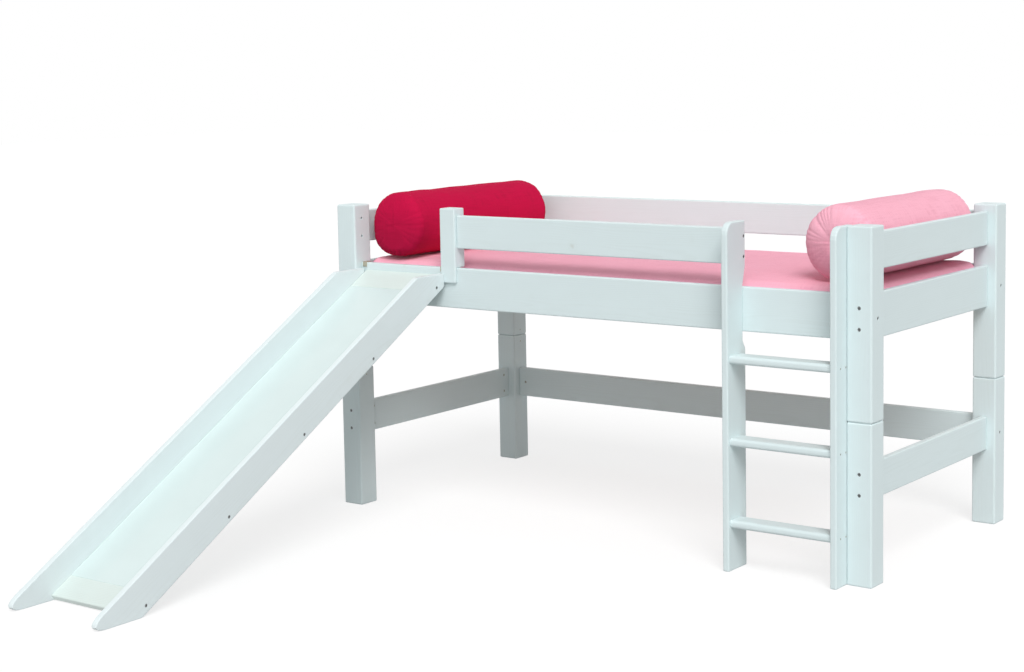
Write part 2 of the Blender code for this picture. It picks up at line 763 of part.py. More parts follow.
def slope_strip(start, stop, top, bottom):
    """Outline of a flat piece along the slope, between two depths below the surface."""
    return [
        Vector(slide_point(start, top)),
        Vector(slide_point(start, bottom)),
        Vector(slide_point(stop, bottom)),
        Vector(slide_point(stop, top)),
    ]


def panel_run():
    return TOP_BOARD_LENGTH + FIT_GAP, FOOT_BOARD_START - FIT_GAP


def make_slide_side(side_name, low_x, inward):
    high_x = low_x + SIDE_THICKNESS
    side = prism(
        f"slide_side_{side_name}", side_outline(), low_x, high_x, white_paint(), BOARD_EDGE
    )
    inner_x, outer_x = (high_x, low_x) if inward > 0 else (low_x, high_x)
    start, stop = panel_run()
    reach = sorted((inner_x - inward * PANEL_GROOVE, inner_x + inward * CUT_OVERRUN))
    groove_line = slope_strip(
        start - FIT_GAP / 2, stop + FIT_GAP / 2, -FIT_GAP, PANEL_THICKNESS + FIT_GAP
    )
    groove = prism(f"panel_groove_{side_name}", groove_line, *reach, place=CUTTERS)
    cut(side, as_cutter(groove))
    for y, z in slide_bolt_places():
        entry = (outer_x, y, z)
        drill_for_bolt(
            side, entry, (inward, 0, 0), SIDE_THICKNESS, SLIDE_HEAD_RADIUS, SLIDE_HEAD_SINK
        )


def drill_ends(board, low_x, high_x, place):
    """Bolt bores in both ends of a piece that lies across the slide."""
    for end_x, way in ((low_x, 1), (high_x, -1)):
        entry = (end_x, *place)
        drill(board, entry, (way, 0, 0), BOLT_RADIUS, SLIDE_BOLT_REACH, BORE_SIDES)


def make_slide_surface():
    inner_low = SLIDE_LEFT_X + SIDE_THICKNESS
    inner_high = SLIDE_RIGHT_X - SIDE_THICKNESS
    low_x, high_x = inner_low + FIT_GAP, inner_high - FIT_GAP
    bolts = slide_bolt_places()
    start, stop = panel_run()
    seat = PANEL_GROOVE - FIT_GAP
    prism(
        "slide_panel",
        slope_strip(start, stop, 0, PANEL_THICKNESS),
        inner_low - seat,
        inner_high + seat,
        panel_gloss(),
        PANEL_EDGE,
        HIDDEN_STEPS,
    )
    top = [
        Vector(slide_point(along_at_reach(FIT_GAP, 0), 0)),
        Vector(slide_point(along_at_reach(FIT_GAP, END_BOARD_THICKNESS), END_BOARD_THICKNESS)),
        Vector(slide_point(TOP_BOARD_LENGTH, END_BOARD_THICKNESS)),
        Vector(slide_point(TOP_BOARD_LENGTH, 0)),
    ]
    top_board = prism("slide_top_board", top, low_x, high_x, cream_paint(), HIDDEN_EDGE)
    drill_ends(top_board, low_x, high_x, bolts[0])
    nose_y, nose_z = slide_point(FOOT_BOARD_END, 0)
    under_y, under_z = slide_point(FOOT_BOARD_START, END_BOARD_THICKNESS)
    nose_foot_y = nose_y + (nose_z - FOOT_FLOOR_GAP) * math.tan(SLIDE_ANGLE)
    under_foot_y = under_y - (under_z - FOOT_FLOOR_GAP) / SLOPE
    foot = rounded(
        (
            (*slide_point(FOOT_BOARD_START, 0), 0),
            (under_y, under_z, 0),
            (under_foot_y, FOOT_FLOOR_GAP, 0),
            (nose_foot_y, FOOT_FLOOR_GAP, HIDDEN_EDGE),
            (nose_y, nose_z, FOOT_NOSE_RADIUS),
        )
    )
    foot_board = prism("slide_foot_board", foot, low_x, high_x, cream_paint())
    drill_ends(foot_board, low_x, high_x, bolts[-1])
    middles = zip(bolt_alongs()[1:-1], bolts[1:-1])
    for index, (along, place) in enumerate(middles, 1):
        outline = slope_strip(
            along - BATTEN_WIDTH / 2,
            along + BATTEN_WIDTH / 2,
            PANEL_THICKNESS + FIT_GAP,
            PANEL_THICKNESS + FIT_GAP + BATTEN_THICKNESS,
        )
        batten = prism(
            f"slide_batten_{index}", outline, low_x, high_x, white_paint(), HIDDEN_EDGE, HIDDEN_STEPS
        )
        drill_ends(batten, low_x, high_x, place)


def make_hook(side_name, low_x):
    """Steel plate on edge, on the inner face of a side board: over the side rail and down behind it."""
    front = RAIL_FRONT_Y - FIT_GAP
    back = RAIL_BACK_Y + FIT_GAP
    under = RAIL_TOP + FIT_GAP
    over = under + HOOK_RISE
    lowest = SLIDE_START + HOOK_ABOVE_SURFACE
    foot = lowest - HOOK_REACH * SLOPE
    outline = rounded(
        (
            (RAIL_FRONT_Y - HOOK_REACH, foot, 0),
            (front, lowest, 0),
            (front, under, 0),
            (back, under, 0),
            (back, RAIL_TOP - HOOK_DROP_BACK, 0),
            (back + HOOK_LEG, RAIL_TOP - HOOK_DROP_BACK, 0),
            (back + HOOK_LEG, over, HOOK_CORNER),
            (RAIL_FRONT_Y - HOOK_REACH_LEVEL, over, HOOK_CORNER),
            (RAIL_FRONT_Y - HOOK_REACH, foot + HOOK_FOOT_HEIGHT, 0),
        )
    )
    prism(f"slide_hook_{side_name}", outline, low_x, low_x + HOOK_STEEL, zinc_steel())


def make_slide():
    right_low_x = SLIDE_RIGHT_X - SIDE_THICKNESS
    make_slide_side("left", SLIDE_LEFT_X, 1)
    make_slide_side("right", right_low_x, -1)
    make_slide_surface()
    make_hook("left", SLIDE_LEFT_X + SIDE_THICKNESS + FIT_GAP)
    make_hook("right", right_low_x - FIT_GAP - HOOK_STEEL)


# Mattress and bolsters


def corner_radius(intrusion_x, intrusion_y):
    """Radius that keeps a mattress corner clear of a post that reaches so far into it both ways."""
    clear = MATTRESS_CORNER_GAP
    total = intrusion_x + intrusion_y + clear
    return total + math.sqrt(total**2 - intrusion_x**2 - intrusion_y**2 + clear**2)


def rounded_rectangle(centre_y, half_x, half_y, radii, height):
    """Level ring of points round a rectangle with arcs for corners, of one radius at each edge."""
    front_radius, back_radius = radii
    ring = []
    for quarter, (way_x, way_y) in enumerate(((1, 1), (-1, 1), (-1, -1), (1, -1))):
        radius = back_radius if way_y > 0 else front_radius
        for step in range(MATTRESS_CORNER_STEPS + 1):
            angle = math.radians(90) * (quarter + step / MATTRESS_CORNER_STEPS)
            x = way_x * (half_x - radius) + radius * math.cos(angle)
            y = way_y * (half_y - radius) + radius * math.sin(angle)
            ring.append((x, centre_y + y, height))
    return ring


def make_mattress():
    """Rings drawn in between the two seams and raised to a crown, with corners that clear the posts."""
    centre_y = (MATTRESS_FRONT_Y + MATTRESS_BACK_Y) / 2
    corners = (
        corner_radius(POST_INTRUSION, POST_INTRUSION_FRONT),
        corner_radius(POST_INTRUSION, POST_INTRUSION),
    )
    rings = []
    for inset_share, height_share in zip(MATTRESS_INSET_SHARES, MATTRESS_HEIGHT_SHARES):
        inset = MATTRESS_CROWN_RUN * inset_share
        half_x = MATTRESS_END_X - inset
        half_y = (MATTRESS_BACK_Y - MATTRESS_FRONT_Y) / 2 - inset
        radii = [max(corner - inset, corner / 4) for corner in corners]
        height = MATTRESS_BOTTOM + MATTRESS_THICKNESS * height_share
        rings.append(rounded_rectangle(centre_y, half_x, half_y, radii, height))
    loft("mattress", rings, pink_cover())


def bolster_ring(x, y, full_radius, share, pleated, floor):
    """Section across a bolster, flat where it lies, with pleats where its end is gathered."""
    ring = []
    centre = floor + full_radius - BOLSTER_FLAT
    for index in range(BOLSTER_SIDES):
        angle = math.tau * index / BOLSTER_SIDES
        ripple = 1 - pleated * BOLSTER_PLEAT_SHARE * (1 - math.cos(BOLSTER_PLEATS * angle))
        radius = full_radius * share * ripple
        height = centre + radius * math.sin(angle)
        ring.append((x + radius * math.cos(angle), y, max(height, floor)))
    return ring


def make_bolster(name, side, radius, room, material):
    """Round bolster along +Y: gathered ends drawn in to the middle, and a full body between."""
    end_room, front_room, back_room = room
    x = side * (INNER_X - end_room - radius)
    near_y = MATTRESS_FRONT_Y + front_room
    far_y = MATTRESS_BACK_Y - back_room
    floor = MATTRESS_TOP + FIT_GAP
    ends = list(zip(BOLSTER_END_STATIONS, BOLSTER_END_RADIUS_SHARES))
    last = len(ends) - 1
    pleats = [math.sin(math.pi * index / last) for index in range(len(ends))]
    near = [
        bolster_ring(x, near_y + along, radius, share, pleat, floor)
        for (along, share), pleat in zip(ends, pleats)
    ]
    far = [
        bolster_ring(x, far_y - along, radius, share, pleat, floor)
        for (along, share), pleat in zip(ends, pleats)
    ]
    start = near_y + BOLSTER_END_STATIONS[-1]
    run = far_y - BOLSTER_END_STATIONS[-1] - start
    middle = [
        bolster_ring(x, start + run * step / (BOLSTER_MIDDLE_RINGS + 1), radius, 1, 0, floor)
        for step in range(1, BOLSTER_MIDDLE_RINGS + 1)
    ]
    loft(name, near + middle + far[::-1], material)


def make_bedding():
    make_mattress()
    make_bolster("bolster_left", -1, BOLSTER_LEFT_RADIUS, BOLSTER_LEFT_ROOM, crimson_cover())
    make_bolster("bolster_right", 1, BOLSTER_RIGHT_RADIUS, BOLSTER_RIGHT_ROOM, pale_pink_cover())


def main():
    for old in list(bpy.data.objects):
        bpy.data.objects.remove(old)
    for side_name, side in SIDES:
        for depth_name, depth in DEPTHS:
            make_post(side_name, side, depth_name, depth)
            make_leg(side_name, side, depth_name, depth)
            make_seam_pin(side_name, side, depth_name, depth)
    make_frame_boards()
    make_guard_support()
    make_front_guard()
    make_cleats()
    make_slats()
    make_ladder()
    make_slide()
    make_bedding()


main()
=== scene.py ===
"""Looks, fixings and soft goods of a mid-high bed with a slide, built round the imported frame.

Laid out as an add-on: settings in property groups, one operator for each group of pieces and one for the
stage, and a panel that lists them. Metres, +Z up, the ladder side towards -Y.
"""

import math

import bmesh
import bpy
import numpy as np
from bpy.props import FloatProperty, FloatVectorProperty, IntProperty, PointerProperty
from mathutils import Matrix, Vector, noise


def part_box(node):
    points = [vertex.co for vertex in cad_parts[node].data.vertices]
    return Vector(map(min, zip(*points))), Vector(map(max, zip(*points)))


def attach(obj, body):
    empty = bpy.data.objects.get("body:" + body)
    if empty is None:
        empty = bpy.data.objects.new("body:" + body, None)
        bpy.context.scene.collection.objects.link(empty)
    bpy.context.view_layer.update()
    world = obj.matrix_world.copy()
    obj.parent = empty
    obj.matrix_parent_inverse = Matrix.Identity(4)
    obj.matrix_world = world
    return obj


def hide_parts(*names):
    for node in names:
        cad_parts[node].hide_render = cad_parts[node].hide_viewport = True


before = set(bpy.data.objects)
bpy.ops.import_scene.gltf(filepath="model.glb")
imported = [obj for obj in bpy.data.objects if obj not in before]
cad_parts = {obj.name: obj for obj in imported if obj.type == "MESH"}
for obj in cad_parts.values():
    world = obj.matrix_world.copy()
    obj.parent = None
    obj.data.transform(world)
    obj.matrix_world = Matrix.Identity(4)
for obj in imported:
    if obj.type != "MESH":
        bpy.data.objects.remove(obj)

bl_info = {
    "name": "Slide bed looks",
    "version": (1, 0, 0),
    "blender": (4, 5, 0),
    "location": "View3D > Sidebar > Slide bed",
    "description": "Painted timber, fixings, bedding and stage for a mid-high bed with a slide",
    "category": "Object",
}

SIDES = (("left", -1), ("right", 1))
DEPTHS = (("front", 1), ("back", -1))

# Ways a board's grain runs: the turn that lays it along the pattern's own X
UPRIGHT = (0, math.radians(90), 0)
ALONG_BED = (0, 0, 0)
ACROSS_BED = (0, 0, math.radians(-90))
DOWN_SLIDE = (math.radians(-30), 0, math.radians(-90))

# Turns that lay an upright rod along an axis
ALONG_X = (0, math.radians(90), 0)
ALONG_Y = (math.radians(90), 0, 0)

CUT_OVERRUN = 0.01
SAME_PLACE = 1e-6

# Fixings, as the bores in the frame hold them. Edges, sockets and recesses are shares of their heads
BOLT_PITCH = 0.064
BOLT_ROWS = (("low", -BOLT_PITCH / 2), ("high", BOLT_PITCH / 2))
BOLT_SHANK_RADIUS = 0.0031
BOLT_TWIST = 0.7
SCREW_TWIST = 1.1
GUARD_BOLT_INSET = 0.009
STILE_LAP = 0.016
NUT_INSET = 0.030
NUT_LENGTH = 0.0145
NUT_SUNK = 0.0012
NUT_SLOT_WIDTH = 0.0012
NUT_SLOT_DEPTH = 0.0010
SHANK_GAP = 0.0002
HEAD_EDGE_SHARE = 0.09
SHANK_TAPER = (0.8, 0.8, 1)
SOCKET_DEPTH = 0.62
RECESS_REACH = 0.62
RECESS_WIDTH = 0.22
RECESS_DEPTH = 0.4
RECESS_TAPER = (0.45, 0.45, 1)
BOARD_THICKNESS = 0.022
CROSS_ABOVE_SEAM = 0.020
CROSS_BELOW_SEAM = 0.026
RUNG_SCREW_PITCH = 0.035
SLIDE_ANGLE = math.radians(30)
PANEL_THICKNESS = 0.005
GROOVE_DEPTH = 0.0063
SIDE_BOARD = 0.112
SIDE_CORNER_RADIUS = 0.006
SIDE_HEAD_RADIUS = 0.030
SIDE_TIP_RADIUS = 0.025
SIDE_TIP_SETBACK = 0.0273
SIDE_EDGE = 0.004
SLIDE_BORES = ((0.0035, 0.060), (0.0055, 0.010))
HOOK_STEEL = 0.003
HOOK_EDGE = 0.0004
HOOK_OVER_SIDE = 0.0145
HOOK_DROP = 0.0150
FIT_GAP = 0.0003
END_BOLT_RISE = 0.0053

# The photograph's frame and the camera fitted to it
IMAGE_SIZE = (1024, 672)
FOCAL_PIXELS = 1877.1139
CAMERA_PLACE = (3.51113, -4.69949, 1.58380)
CAMERA_YAW = 0.6266217
CAMERA_PITCH = 0.1020902
CAMERA_ROLL = -0.0164287
OPTICAL_CENTRE = (552.9597, 254.6728)
KEY_FROM = (0.47, -0.50, 0.727)
FILL_FROM = (0.50, -0.83, 0.25)

# Patterns: the space between knots, their radius, and the size of a patch of tone
KNOT_SPACING = 0.22
KNOT_RADIUS = 0.012
MOTTLE_SIZE = 0.12
PINE_KNOT_SPACING = 0.18
PINE_MOTTLE_SIZE = 0.07

# How a colour shifts at rings and knots that show through paint, and in bare pine
RING_SHARES = (0.90, 0.895, 0.875)
HALO_SHARES = (0.80, 0.78, 0.72)
CORE_SHARES = (0.66, 0.60, 0.52)
LATE_WOOD_SHARES = (0.78, 0.62, 0.48)
PINE_KNOT = (0.16, 0.06, 0.022, 1.0)
CROSSBOARD_ROUGHNESS = 0.34
CROSSBOARD_GRAIN = 0.4
CROSSBOARD_KNOTS = 0.5

# Bedding: room left for the fabric to swell, edges' radii, the size of the quads and how far they swell,
# what is held still, creases and dips, the colours between the threads, which for the bolsters also paint
# shade on their lower near ends, and the painted light on the mattress's sides
MATTRESS_TRIM_LOW = (0.003, 0.003, 0.001)
MATTRESS_TRIM_HIGH = (0.003, 0.003, 0.006)
MATTRESS_CORNER = 0.018
MATTRESS_TOP = 0.040
MATTRESS_BOTTOM = 0.014
MATTRESS_VOXEL = 0.0135
MATTRESS_SWELL = 0.0055
MATTRESS_HELD = 0.004
CREASE_PITCH = 0.034
DIP_DEPTH = 0.004
DIP_OUTSIDE = 0.02
DIP_INSIDE = 0.05
POST_CLEARANCE = 0.0045
DENT_DEPTH = 0.060
BOLSTER_TRIM = 0.003
BOLSTER_VOXEL = 0.006
BOLSTER_SWELL = 0.005
BOLSTER_HELD_DEPTH = 0.03
BOLSTER_HELD_SHARE = 0.16
# How much longer at the near and far end, how far the ends dome and dimple, how far the near end slumps,
# how deep the folds are, and the seed of their noise
BOLSTERS = {
    "left": (0.008, 0.016, 0.040, 0.0, -0.014, 0.0016, 3),
    "right": (0.006, 0.013, 0.046, 0.014, 0.006, 0.0034, 5),
}
DOME_POWER = 2.5
DIMPLE_SHARE = 0.34
SAG_POWER = 2.25
SLUMP_LENGTH = 0.17
SLACK_DEPTH = 0.0016
FINE_DEPTH = 0.0006
DOME_SHARES = (0.995, 0.98, 0.95, 0.90, 0.82, 0.72, 0.60, 0.46, 0.34, 0.24, 0.15, 0.07)
MATTRESS_DEEP = (0.74, 0.25, 0.37)
# Painted light: a lighter pink laid over the mattress's sides, standing in for light they don't get
MATTRESS_SIDE_PAINTED_LIGHT = (1.0, 0.49, 0.68)
# Colours between the bolsters' threads, also laid as painted shade on the lower half of their near ends
CRIMSON_WEAVE_AND_PAINTED_SHADE = (0.25, 0.004, 0.03)
PINK_WEAVE_AND_PAINTED_SHADE = (0.62, 0.17, 0.26)

# Fabric simulation
SIMULATED_FRAMES = 20
FABRIC = {
    "quality": 5,
    "mass": 0.25,
    "tension_stiffness": 18,
    "compression_stiffness": 18,
    "shear_stiffness": 6,
    "bending_stiffness": 0.4,
    "use_pressure": True,
    "uniform_pressure_force": 4.0,
}


# Settings


def colour_setting(name, description, default):
    return FloatVectorProperty(
        name=name, description=description, subtype="COLOR", size=3, min=0, max=1, default=default
    )


def share_setting(name, description, default):
    return FloatProperty(
        name=name, description=description, subtype="FACTOR", min=0, max=1, default=default
    )


def strength_setting(name, description, default):
    return FloatProperty(name=name, description=description, min=0, default=default)


def length_setting(name, description, default):
    return FloatProperty(
        name=name, description=description, subtype="DISTANCE", unit="LENGTH", min=0, default=default
    )


class SlideBedTimber(bpy.types.PropertyGroup):
    """Paint and timber."""

    paint: colour_setting("Paint", "Satin paint of the posts and boards", (0.70, 0.806, 0.818))
    # Painted light: a lighter copy of the frame paint for the back guard, for the light that falls on it
    back_paint: colour_setting("Back guard painted light", "Paint of the back guard by the bedding", (0.71, 0.85, 0.84))
    # Painted light: a lighter copy of the frame paint for the slide's side boards, for light their faces
    # don't get
    side_paint: colour_setting("Slide side painted light", "Paint of the slide's side boards", (0.75, 0.834, 0.847))
    paint_roughness: share_setting("Paint roughness", "Roughness of the satin paint", 0.42)
    panel: colour_setting("Sliding panel", "Smooth coat of the sliding panel", (0.652, 0.764, 0.755))
    panel_roughness: share_setting("Panel roughness", "Roughness of the sliding panel", 0.2)
    cream: colour_setting("Crossboards", "Paint of the slide's top and foot boards", (0.675, 0.765, 0.735))
    pine: colour_setting("Bare pine", "Unpainted slats, cleats and seam pins", (0.70, 0.50, 0.28))
    ring_pitch: length_setting("Ring pitch", "Distance between growth rings", 0.0055)
    grain: share_setting("Grain", "How much grain shows through the paint", 0.22)
    knots: share_setting("Knots", "How dark the knots show through the paint", 0.30)


class SlideBedFixings(bpy.types.PropertyGroup):
    """Bolts, barrel nuts and screws."""

    head_radius: length_setting("Bolt head", "Radius of a bolt's head", 0.0058)
    slide_head_radius: length_setting("Slide bolt head", "Radius of the heads along the slide", 0.0050)
    socket_radius: length_setting("Socket", "Radius over the corners of the hexagon socket", 0.0030)
    nut_radius: length_setting("Barrel nut", "Radius of a barrel nut", 0.0048)
    hook: colour_setting("Hook zinc", "Dull zinc of the slide hooks", (0.52, 0.48, 0.38))
    screw_radius: length_setting("Screw head", "Radius of a rung screw's head", 0.0033)
    seam_screw_radius: length_setting("Seam screw head", "Radius of a seam pin screw's head", 0.0028)
    steel: colour_setting("Bolt steel", "Plain steel of the bolts", (0.25, 0.26, 0.26))
    zinc: colour_setting("Bright zinc", "Bright zinc of the nuts and screws", (0.42, 0.41, 0.35))


class SlideBedBedding(bpy.types.PropertyGroup):
    """Mattress cover and bolsters."""

    mattress: colour_setting("Mattress cover", "Cotton of the mattress cover", (0.97, 0.47, 0.58))
    crimson: colour_setting("Left bolster", "Cotton of the left bolster", (0.545, 0.005, 0.056))
    pink: colour_setting("Right bolster", "Cotton of the right bolster", (0.97, 0.49, 0.60))
    thread: length_setting("Thread pitch", "Distance between threads of the weave", 0.0011)
    crease: length_setting("Crease depth", "Depth of the creases in the mattress cover", 0.0040)
    gathers: IntProperty(name="Gathers", description="Folds round a bolster's end", min=8, default=30)


class SlideBedStage(bpy.types.PropertyGroup):
    """Floor and light."""

    floor_size: length_setting("Floor", "Width of the floor", 60.0)
    key_strength: strength_setting("Key", "Strength of the soft key light", 2.0)
    fill_strength: strength_setting("Fill", "Strength of the low front light", 0.7)
    sky_strength: strength_setting("Sky", "Strength of the even light", 0.42)


def settings(group):
    return getattr(bpy.context.scene, f"slide_bed_{group}")


# Node helpers


def feed(tree, inputs, values):
    """Links every value that is a socket to its input and sets the others."""
    for key, value in values.items():
        if isinstance(value, bpy.types.NodeSocket):
            tree.links.new(value, inputs[key])
        else:
            inputs[key].default_value = value


def node(tree, kind, inputs=None, **options):
    """Adds a node: first its options, which decide what inputs it has, then those."""
    made = tree.nodes.new(kind)
    for option, value in options.items():
        setattr(made, option, value)
    feed(tree, made.inputs, inputs or {})
    return made


def sums(tree, operation, first, second=0.0, third=0.0):
    """One arithmetic step on numbers."""
    inputs = {0: first, 1: second, 2: third}
    return node(tree, "ShaderNodeMath", inputs, operation=operation).outputs[0]


def times(tree, first, second):
    return sums(tree, "MULTIPLY", first, second)


def scaled(tree, value, factor, start):
    """The value times a factor, from a start."""
    return sums(tree, "MULTIPLY_ADD", value, factor, start)


def vectors(tree, operation, first, second=(0.0, 0.0, 0.0), scale=1.0):
    """One arithmetic step on vectors."""
    inputs = {0: first, 1: second, 3: scale}
    return node(tree, "ShaderNodeVectorMath", inputs, operation=operation).outputs[0]


def mixed(tree, share, first, second):
    """Colour between two, by a share."""
    colours = {0: share, 6: first, 7: second}
    return node(tree, "ShaderNodeMix", colours, data_type="RGBA").outputs[2]


def glazed(tree, tone, mask, amount, colour):
    """The tone with a colour laid over it, by an amount and where the mask lets it."""
    return mixed(tree, times(tree, mask, amount), tone, colour)


def ramp(tree, value, low, high):
    """0 to 1 as the value goes from low to high, smooth at both ends."""
    inputs = {"Value": value, "From Min": low, "From Max": high}
    return node(tree, "ShaderNodeMapRange", inputs, interpolation_type="SMOOTHSTEP").outputs["Result"]


def stretched(tree, vector, scale):
    return node(tree, "ShaderNodeMapping", {"Vector": vector, "Scale": scale}).outputs["Vector"]


def speckle(tree, vector, scale, detail=2.0, roughness=0.5):
    inputs = {"Vector": vector, "Scale": scale, "Detail": detail, "Roughness": roughness}
    return node(tree, "ShaderNodeTexNoise", inputs).outputs["Fac"]


def new_group(name, numbers, results):
    """Shader node group fed with a vector and named numbers. Returns its tree, inputs and results."""
    tree = bpy.data.node_groups.new(name, "ShaderNodeTree")
    add_socket = tree.interface.new_socket
    add_socket("Vector", in_out="INPUT", socket_type="NodeSocketVector")
    for label, default in numbers.items():
        add_socket(label, in_out="INPUT", socket_type="NodeSocketFloat").default_value = default
    for label in results:
        add_socket(label, in_out="OUTPUT", socket_type="NodeSocketFloat")
    return tree, tree.nodes.new("NodeGroupInput").outputs, tree.nodes.new("NodeGroupOutput").inputs


def made_once(make):
    """Finds the node group that bears the function's name, or makes it."""

    def found():
        name = make.__name__
        return bpy.data.node_groups.get(name) or make(name)

    return found


@made_once
def board_grain(name):
    """Growth rings and fibres of a board whose length runs along the pattern's X."""
    tree, given, result = new_group(name, {"Ring Pitch": 0.0055}, ("Rings", "Fibres"))
    along = given["Vector"]
    slow = stretched(tree, along, (0.16, 1.0, 1.0))
    sway = node(tree, "ShaderNodeTexNoise", {"Vector": slow, "Scale": 9.0, "Detail": 2.0}).outputs["Color"]
    sway = vectors(tree, "SUBTRACT", sway, (0.5, 0.5, 0.5))
    moved = vectors(tree, "ADD", slow, vectors(tree, "SCALE", sway, scale=0.06))
    flat = stretched(tree, moved, (0.0, 1.0, 1.0))
    reach = node(tree, "ShaderNodeVectorMath", {0: flat}, operation="LENGTH").outputs["Value"]
    turns = sums(tree, "FRACT", sums(tree, "DIVIDE", reach, given["Ring Pitch"]))
    rings = times(tree, ramp(tree, turns, 0.35, 0.92), ramp(tree, turns, 1.0, 0.93))
    figure = speckle(tree, stretched(tree, along, (0.22, 1.0, 1.0)), 26.0, 3.0)
    rings = times(tree, rings, ramp(tree, figure, 0.3, 0.62))
    fibres = speckle(tree, stretched(tree, along, (0.025, 1.0, 1.0)), 700.0, 2.0, 0.6)
    feed(tree, result, {"Rings": rings, "Fibres": fibres})
    return tree


@made_once
def board_knots(name):
    """Scattered knots: a dark core and the ring of swirled grain round it."""
    numbers = {"Spacing": KNOT_SPACING, "Radius": KNOT_RADIUS}
    tree, given, result = new_group(name, numbers, ("Core", "Halo"))
    wavy = node(tree, "ShaderNodeTexNoise", {"Vector": given["Vector"], "Scale": 45.0}).outputs["Color"]
    bent = vectors(tree, "ADD", given["Vector"], vectors(tree, "SCALE", wavy, scale=0.012))
    scale = sums(tree, "DIVIDE", 1.0, given["Spacing"])
    cells = node(tree, "ShaderNodeTexVoronoi", {"Vector": bent, "Scale": scale})
    reach = times(tree, cells.outputs["Distance"], given["Spacing"])
    share = sums(tree, "DIVIDE", reach, given["Radius"])
    rings = scaled(tree, sums(tree, "SINE", times(tree, share, 9.0)), 0.25, 0.75)
    halo = times(tree, ramp(tree, share, 2.6, 0.7), rings)
    feed(tree, result, {"Core": ramp(tree, share, 1.0, 0.35), "Halo": halo})
    return tree


@made_once
def soft_mottle(name):
    """Slow change of tone over a surface, and the fine unevenness that a brush or roller leaves."""
    tree, given, result = new_group(name, {"Size": MOTTLE_SIZE}, ("Tone", "Skin"))
    scale = sums(tree, "DIVIDE", 1.0, given["Size"])
    tone = speckle(tree, given["Vector"], scale, 3.0, 0.55)
    feed(tree, result, {"Tone": tone, "Skin": speckle(tree, given["Vector"], 420.0, 2.0, 0.45)})
    return tree


@made_once
def plain_weave(name):
    """Plain weave: threads over and under, with slubs that thicken some of them."""
    tree, given, result = new_group(name, {"Thread": 0.001}, ("Height", "Slub"))
    place = node(tree, "ShaderNodeSeparateXYZ", {"Vector": given["Vector"]}).outputs
    turn = sums(tree, "DIVIDE", math.pi, given["Thread"])
    waves = [
        sums(tree, "ABSOLUTE", sums(tree, "SINE", times(tree, place[axis], turn))) for axis in ("X", "Y")
    ]
    runs = [
        speckle(tree, stretched(tree, given["Vector"], scale), 160.0, 2.0)
        for scale in ((0.06, 1.0, 1.0), (1.0, 0.06, 1.0))
    ]
    feed(tree, result, {"Height": sums(tree, "MAXIMUM", *waves), "Slub": times(tree, *runs)})
    return tree


def placed_group(tree, group, **inputs):
    labelled = {key.replace("_", " "): value for key, value in inputs.items()}
    return node(tree, "ShaderNodeGroup", labelled, node_tree=group).outputs


def shaded(name):
    """New material: its tree, its Principled BSDF and the Object coordinates."""
    material = bpy.data.materials.new(name)
    material.use_nodes = True
    tree = material.node_tree
    coordinates = tree.nodes.new("ShaderNodeTexCoord").outputs
    return material, tree, tree.nodes["Principled BSDF"].inputs, coordinates["Object"]


def bump(tree, height, strength, distance):
    inputs = {"Height": height, "Strength": strength, "Distance": distance}
    return node(tree, "ShaderNodeBump", inputs).outputs["Normal"]


def rgba(colour, factor=1.0):
    return (*(min(1.0, part * factor) for part in colour), 1.0)


def tinted(colour, shares):
    """The colour with a share of each of its parts."""
    return rgba([part * share for part, share in zip(colour, shares)])


# Materials


def board_frame(tree, place, turn, centre, seed):
    """The board's own coordinates: its length along X, and the heart of its rings off to one side."""
    rotation = Matrix.Rotation(turn[2], 3, "Z") @ Matrix.Rotation(turn[1], 3, "Y")
    rotation = rotation @ Matrix.Rotation(turn[0], 3, "X")
    heart = Vector((7.3 * seed % 5, 0.030 + 0.021 * (seed * 5 % 7), 0.026 + 0.013 * (seed * 3 % 5)))
    shift = heart - rotation @ centre
    inputs = {"Vector": place, "Rotation": turn, "Location": shift}
    return node(tree, "ShaderNodeMapping", inputs).outputs["Vector"]


def wooden(name, turn, centre, seed, spacing=KNOT_SPACING, size=MOTTLE_SIZE):
    """New material for a board, with its grain, its knots and its mottle."""
    material, tree, shader, place = shaded(name)
    own = board_frame(tree, place, turn, centre, seed)
    lines = placed_group(tree, board_grain(), Vector=own, Ring_Pitch=settings("timber").ring_pitch)
    spots = placed_group(tree, board_knots(), Vector=own, Spacing=spacing)
    mottle = placed_group(tree, soft_mottle(), Vector=place, Size=size)
    return material, tree, shader, lines, spots, mottle


def painted_board(name, turn, centre, seed, colour, roughness, grain=None, knots=None):
    """Satin paint over pine: rings, fibres and knots show faintly through the coat."""
    timber = settings("timber")
    grain = timber.grain if grain is None else grain
    knots = timber.knots if knots is None else knots
    material, tree, shader, lines, spots, coat = wooden(name, turn, centre, seed)
    shade = tinted(colour, RING_SHARES)
    tone = glazed(tree, rgba(colour), lines["Rings"], grain, shade)
    tone = glazed(tree, tone, ramp(tree, lines["Fibres"], 0.45, 0.75), grain * 0.35, shade)
    tone = glazed(tree, tone, ramp(tree, coat["Tone"], 0.40, 0.72), 0.16, rgba(colour, 1.05))
    tone = glazed(tree, tone, spots["Halo"], knots * 0.45, tinted(colour, HALO_SHARES))
    tone = glazed(tree, tone, spots["Core"], knots, tinted(colour, CORE_SHARES))
    gloss = scaled(tree, coat["Tone"], 0.14, roughness - 0.07)
    gloss = scaled(tree, lines["Rings"], 0.06, gloss)
    relief = scaled(tree, lines["Rings"], 0.5, lines["Fibres"])
    relief = scaled(tree, coat["Skin"], 0.6, relief)
    normal = bump(tree, relief, 0.22, 0.0004)
    feed(tree, shader, {"Base Color": tone, "Roughness": gloss, "Normal": normal})
    return material


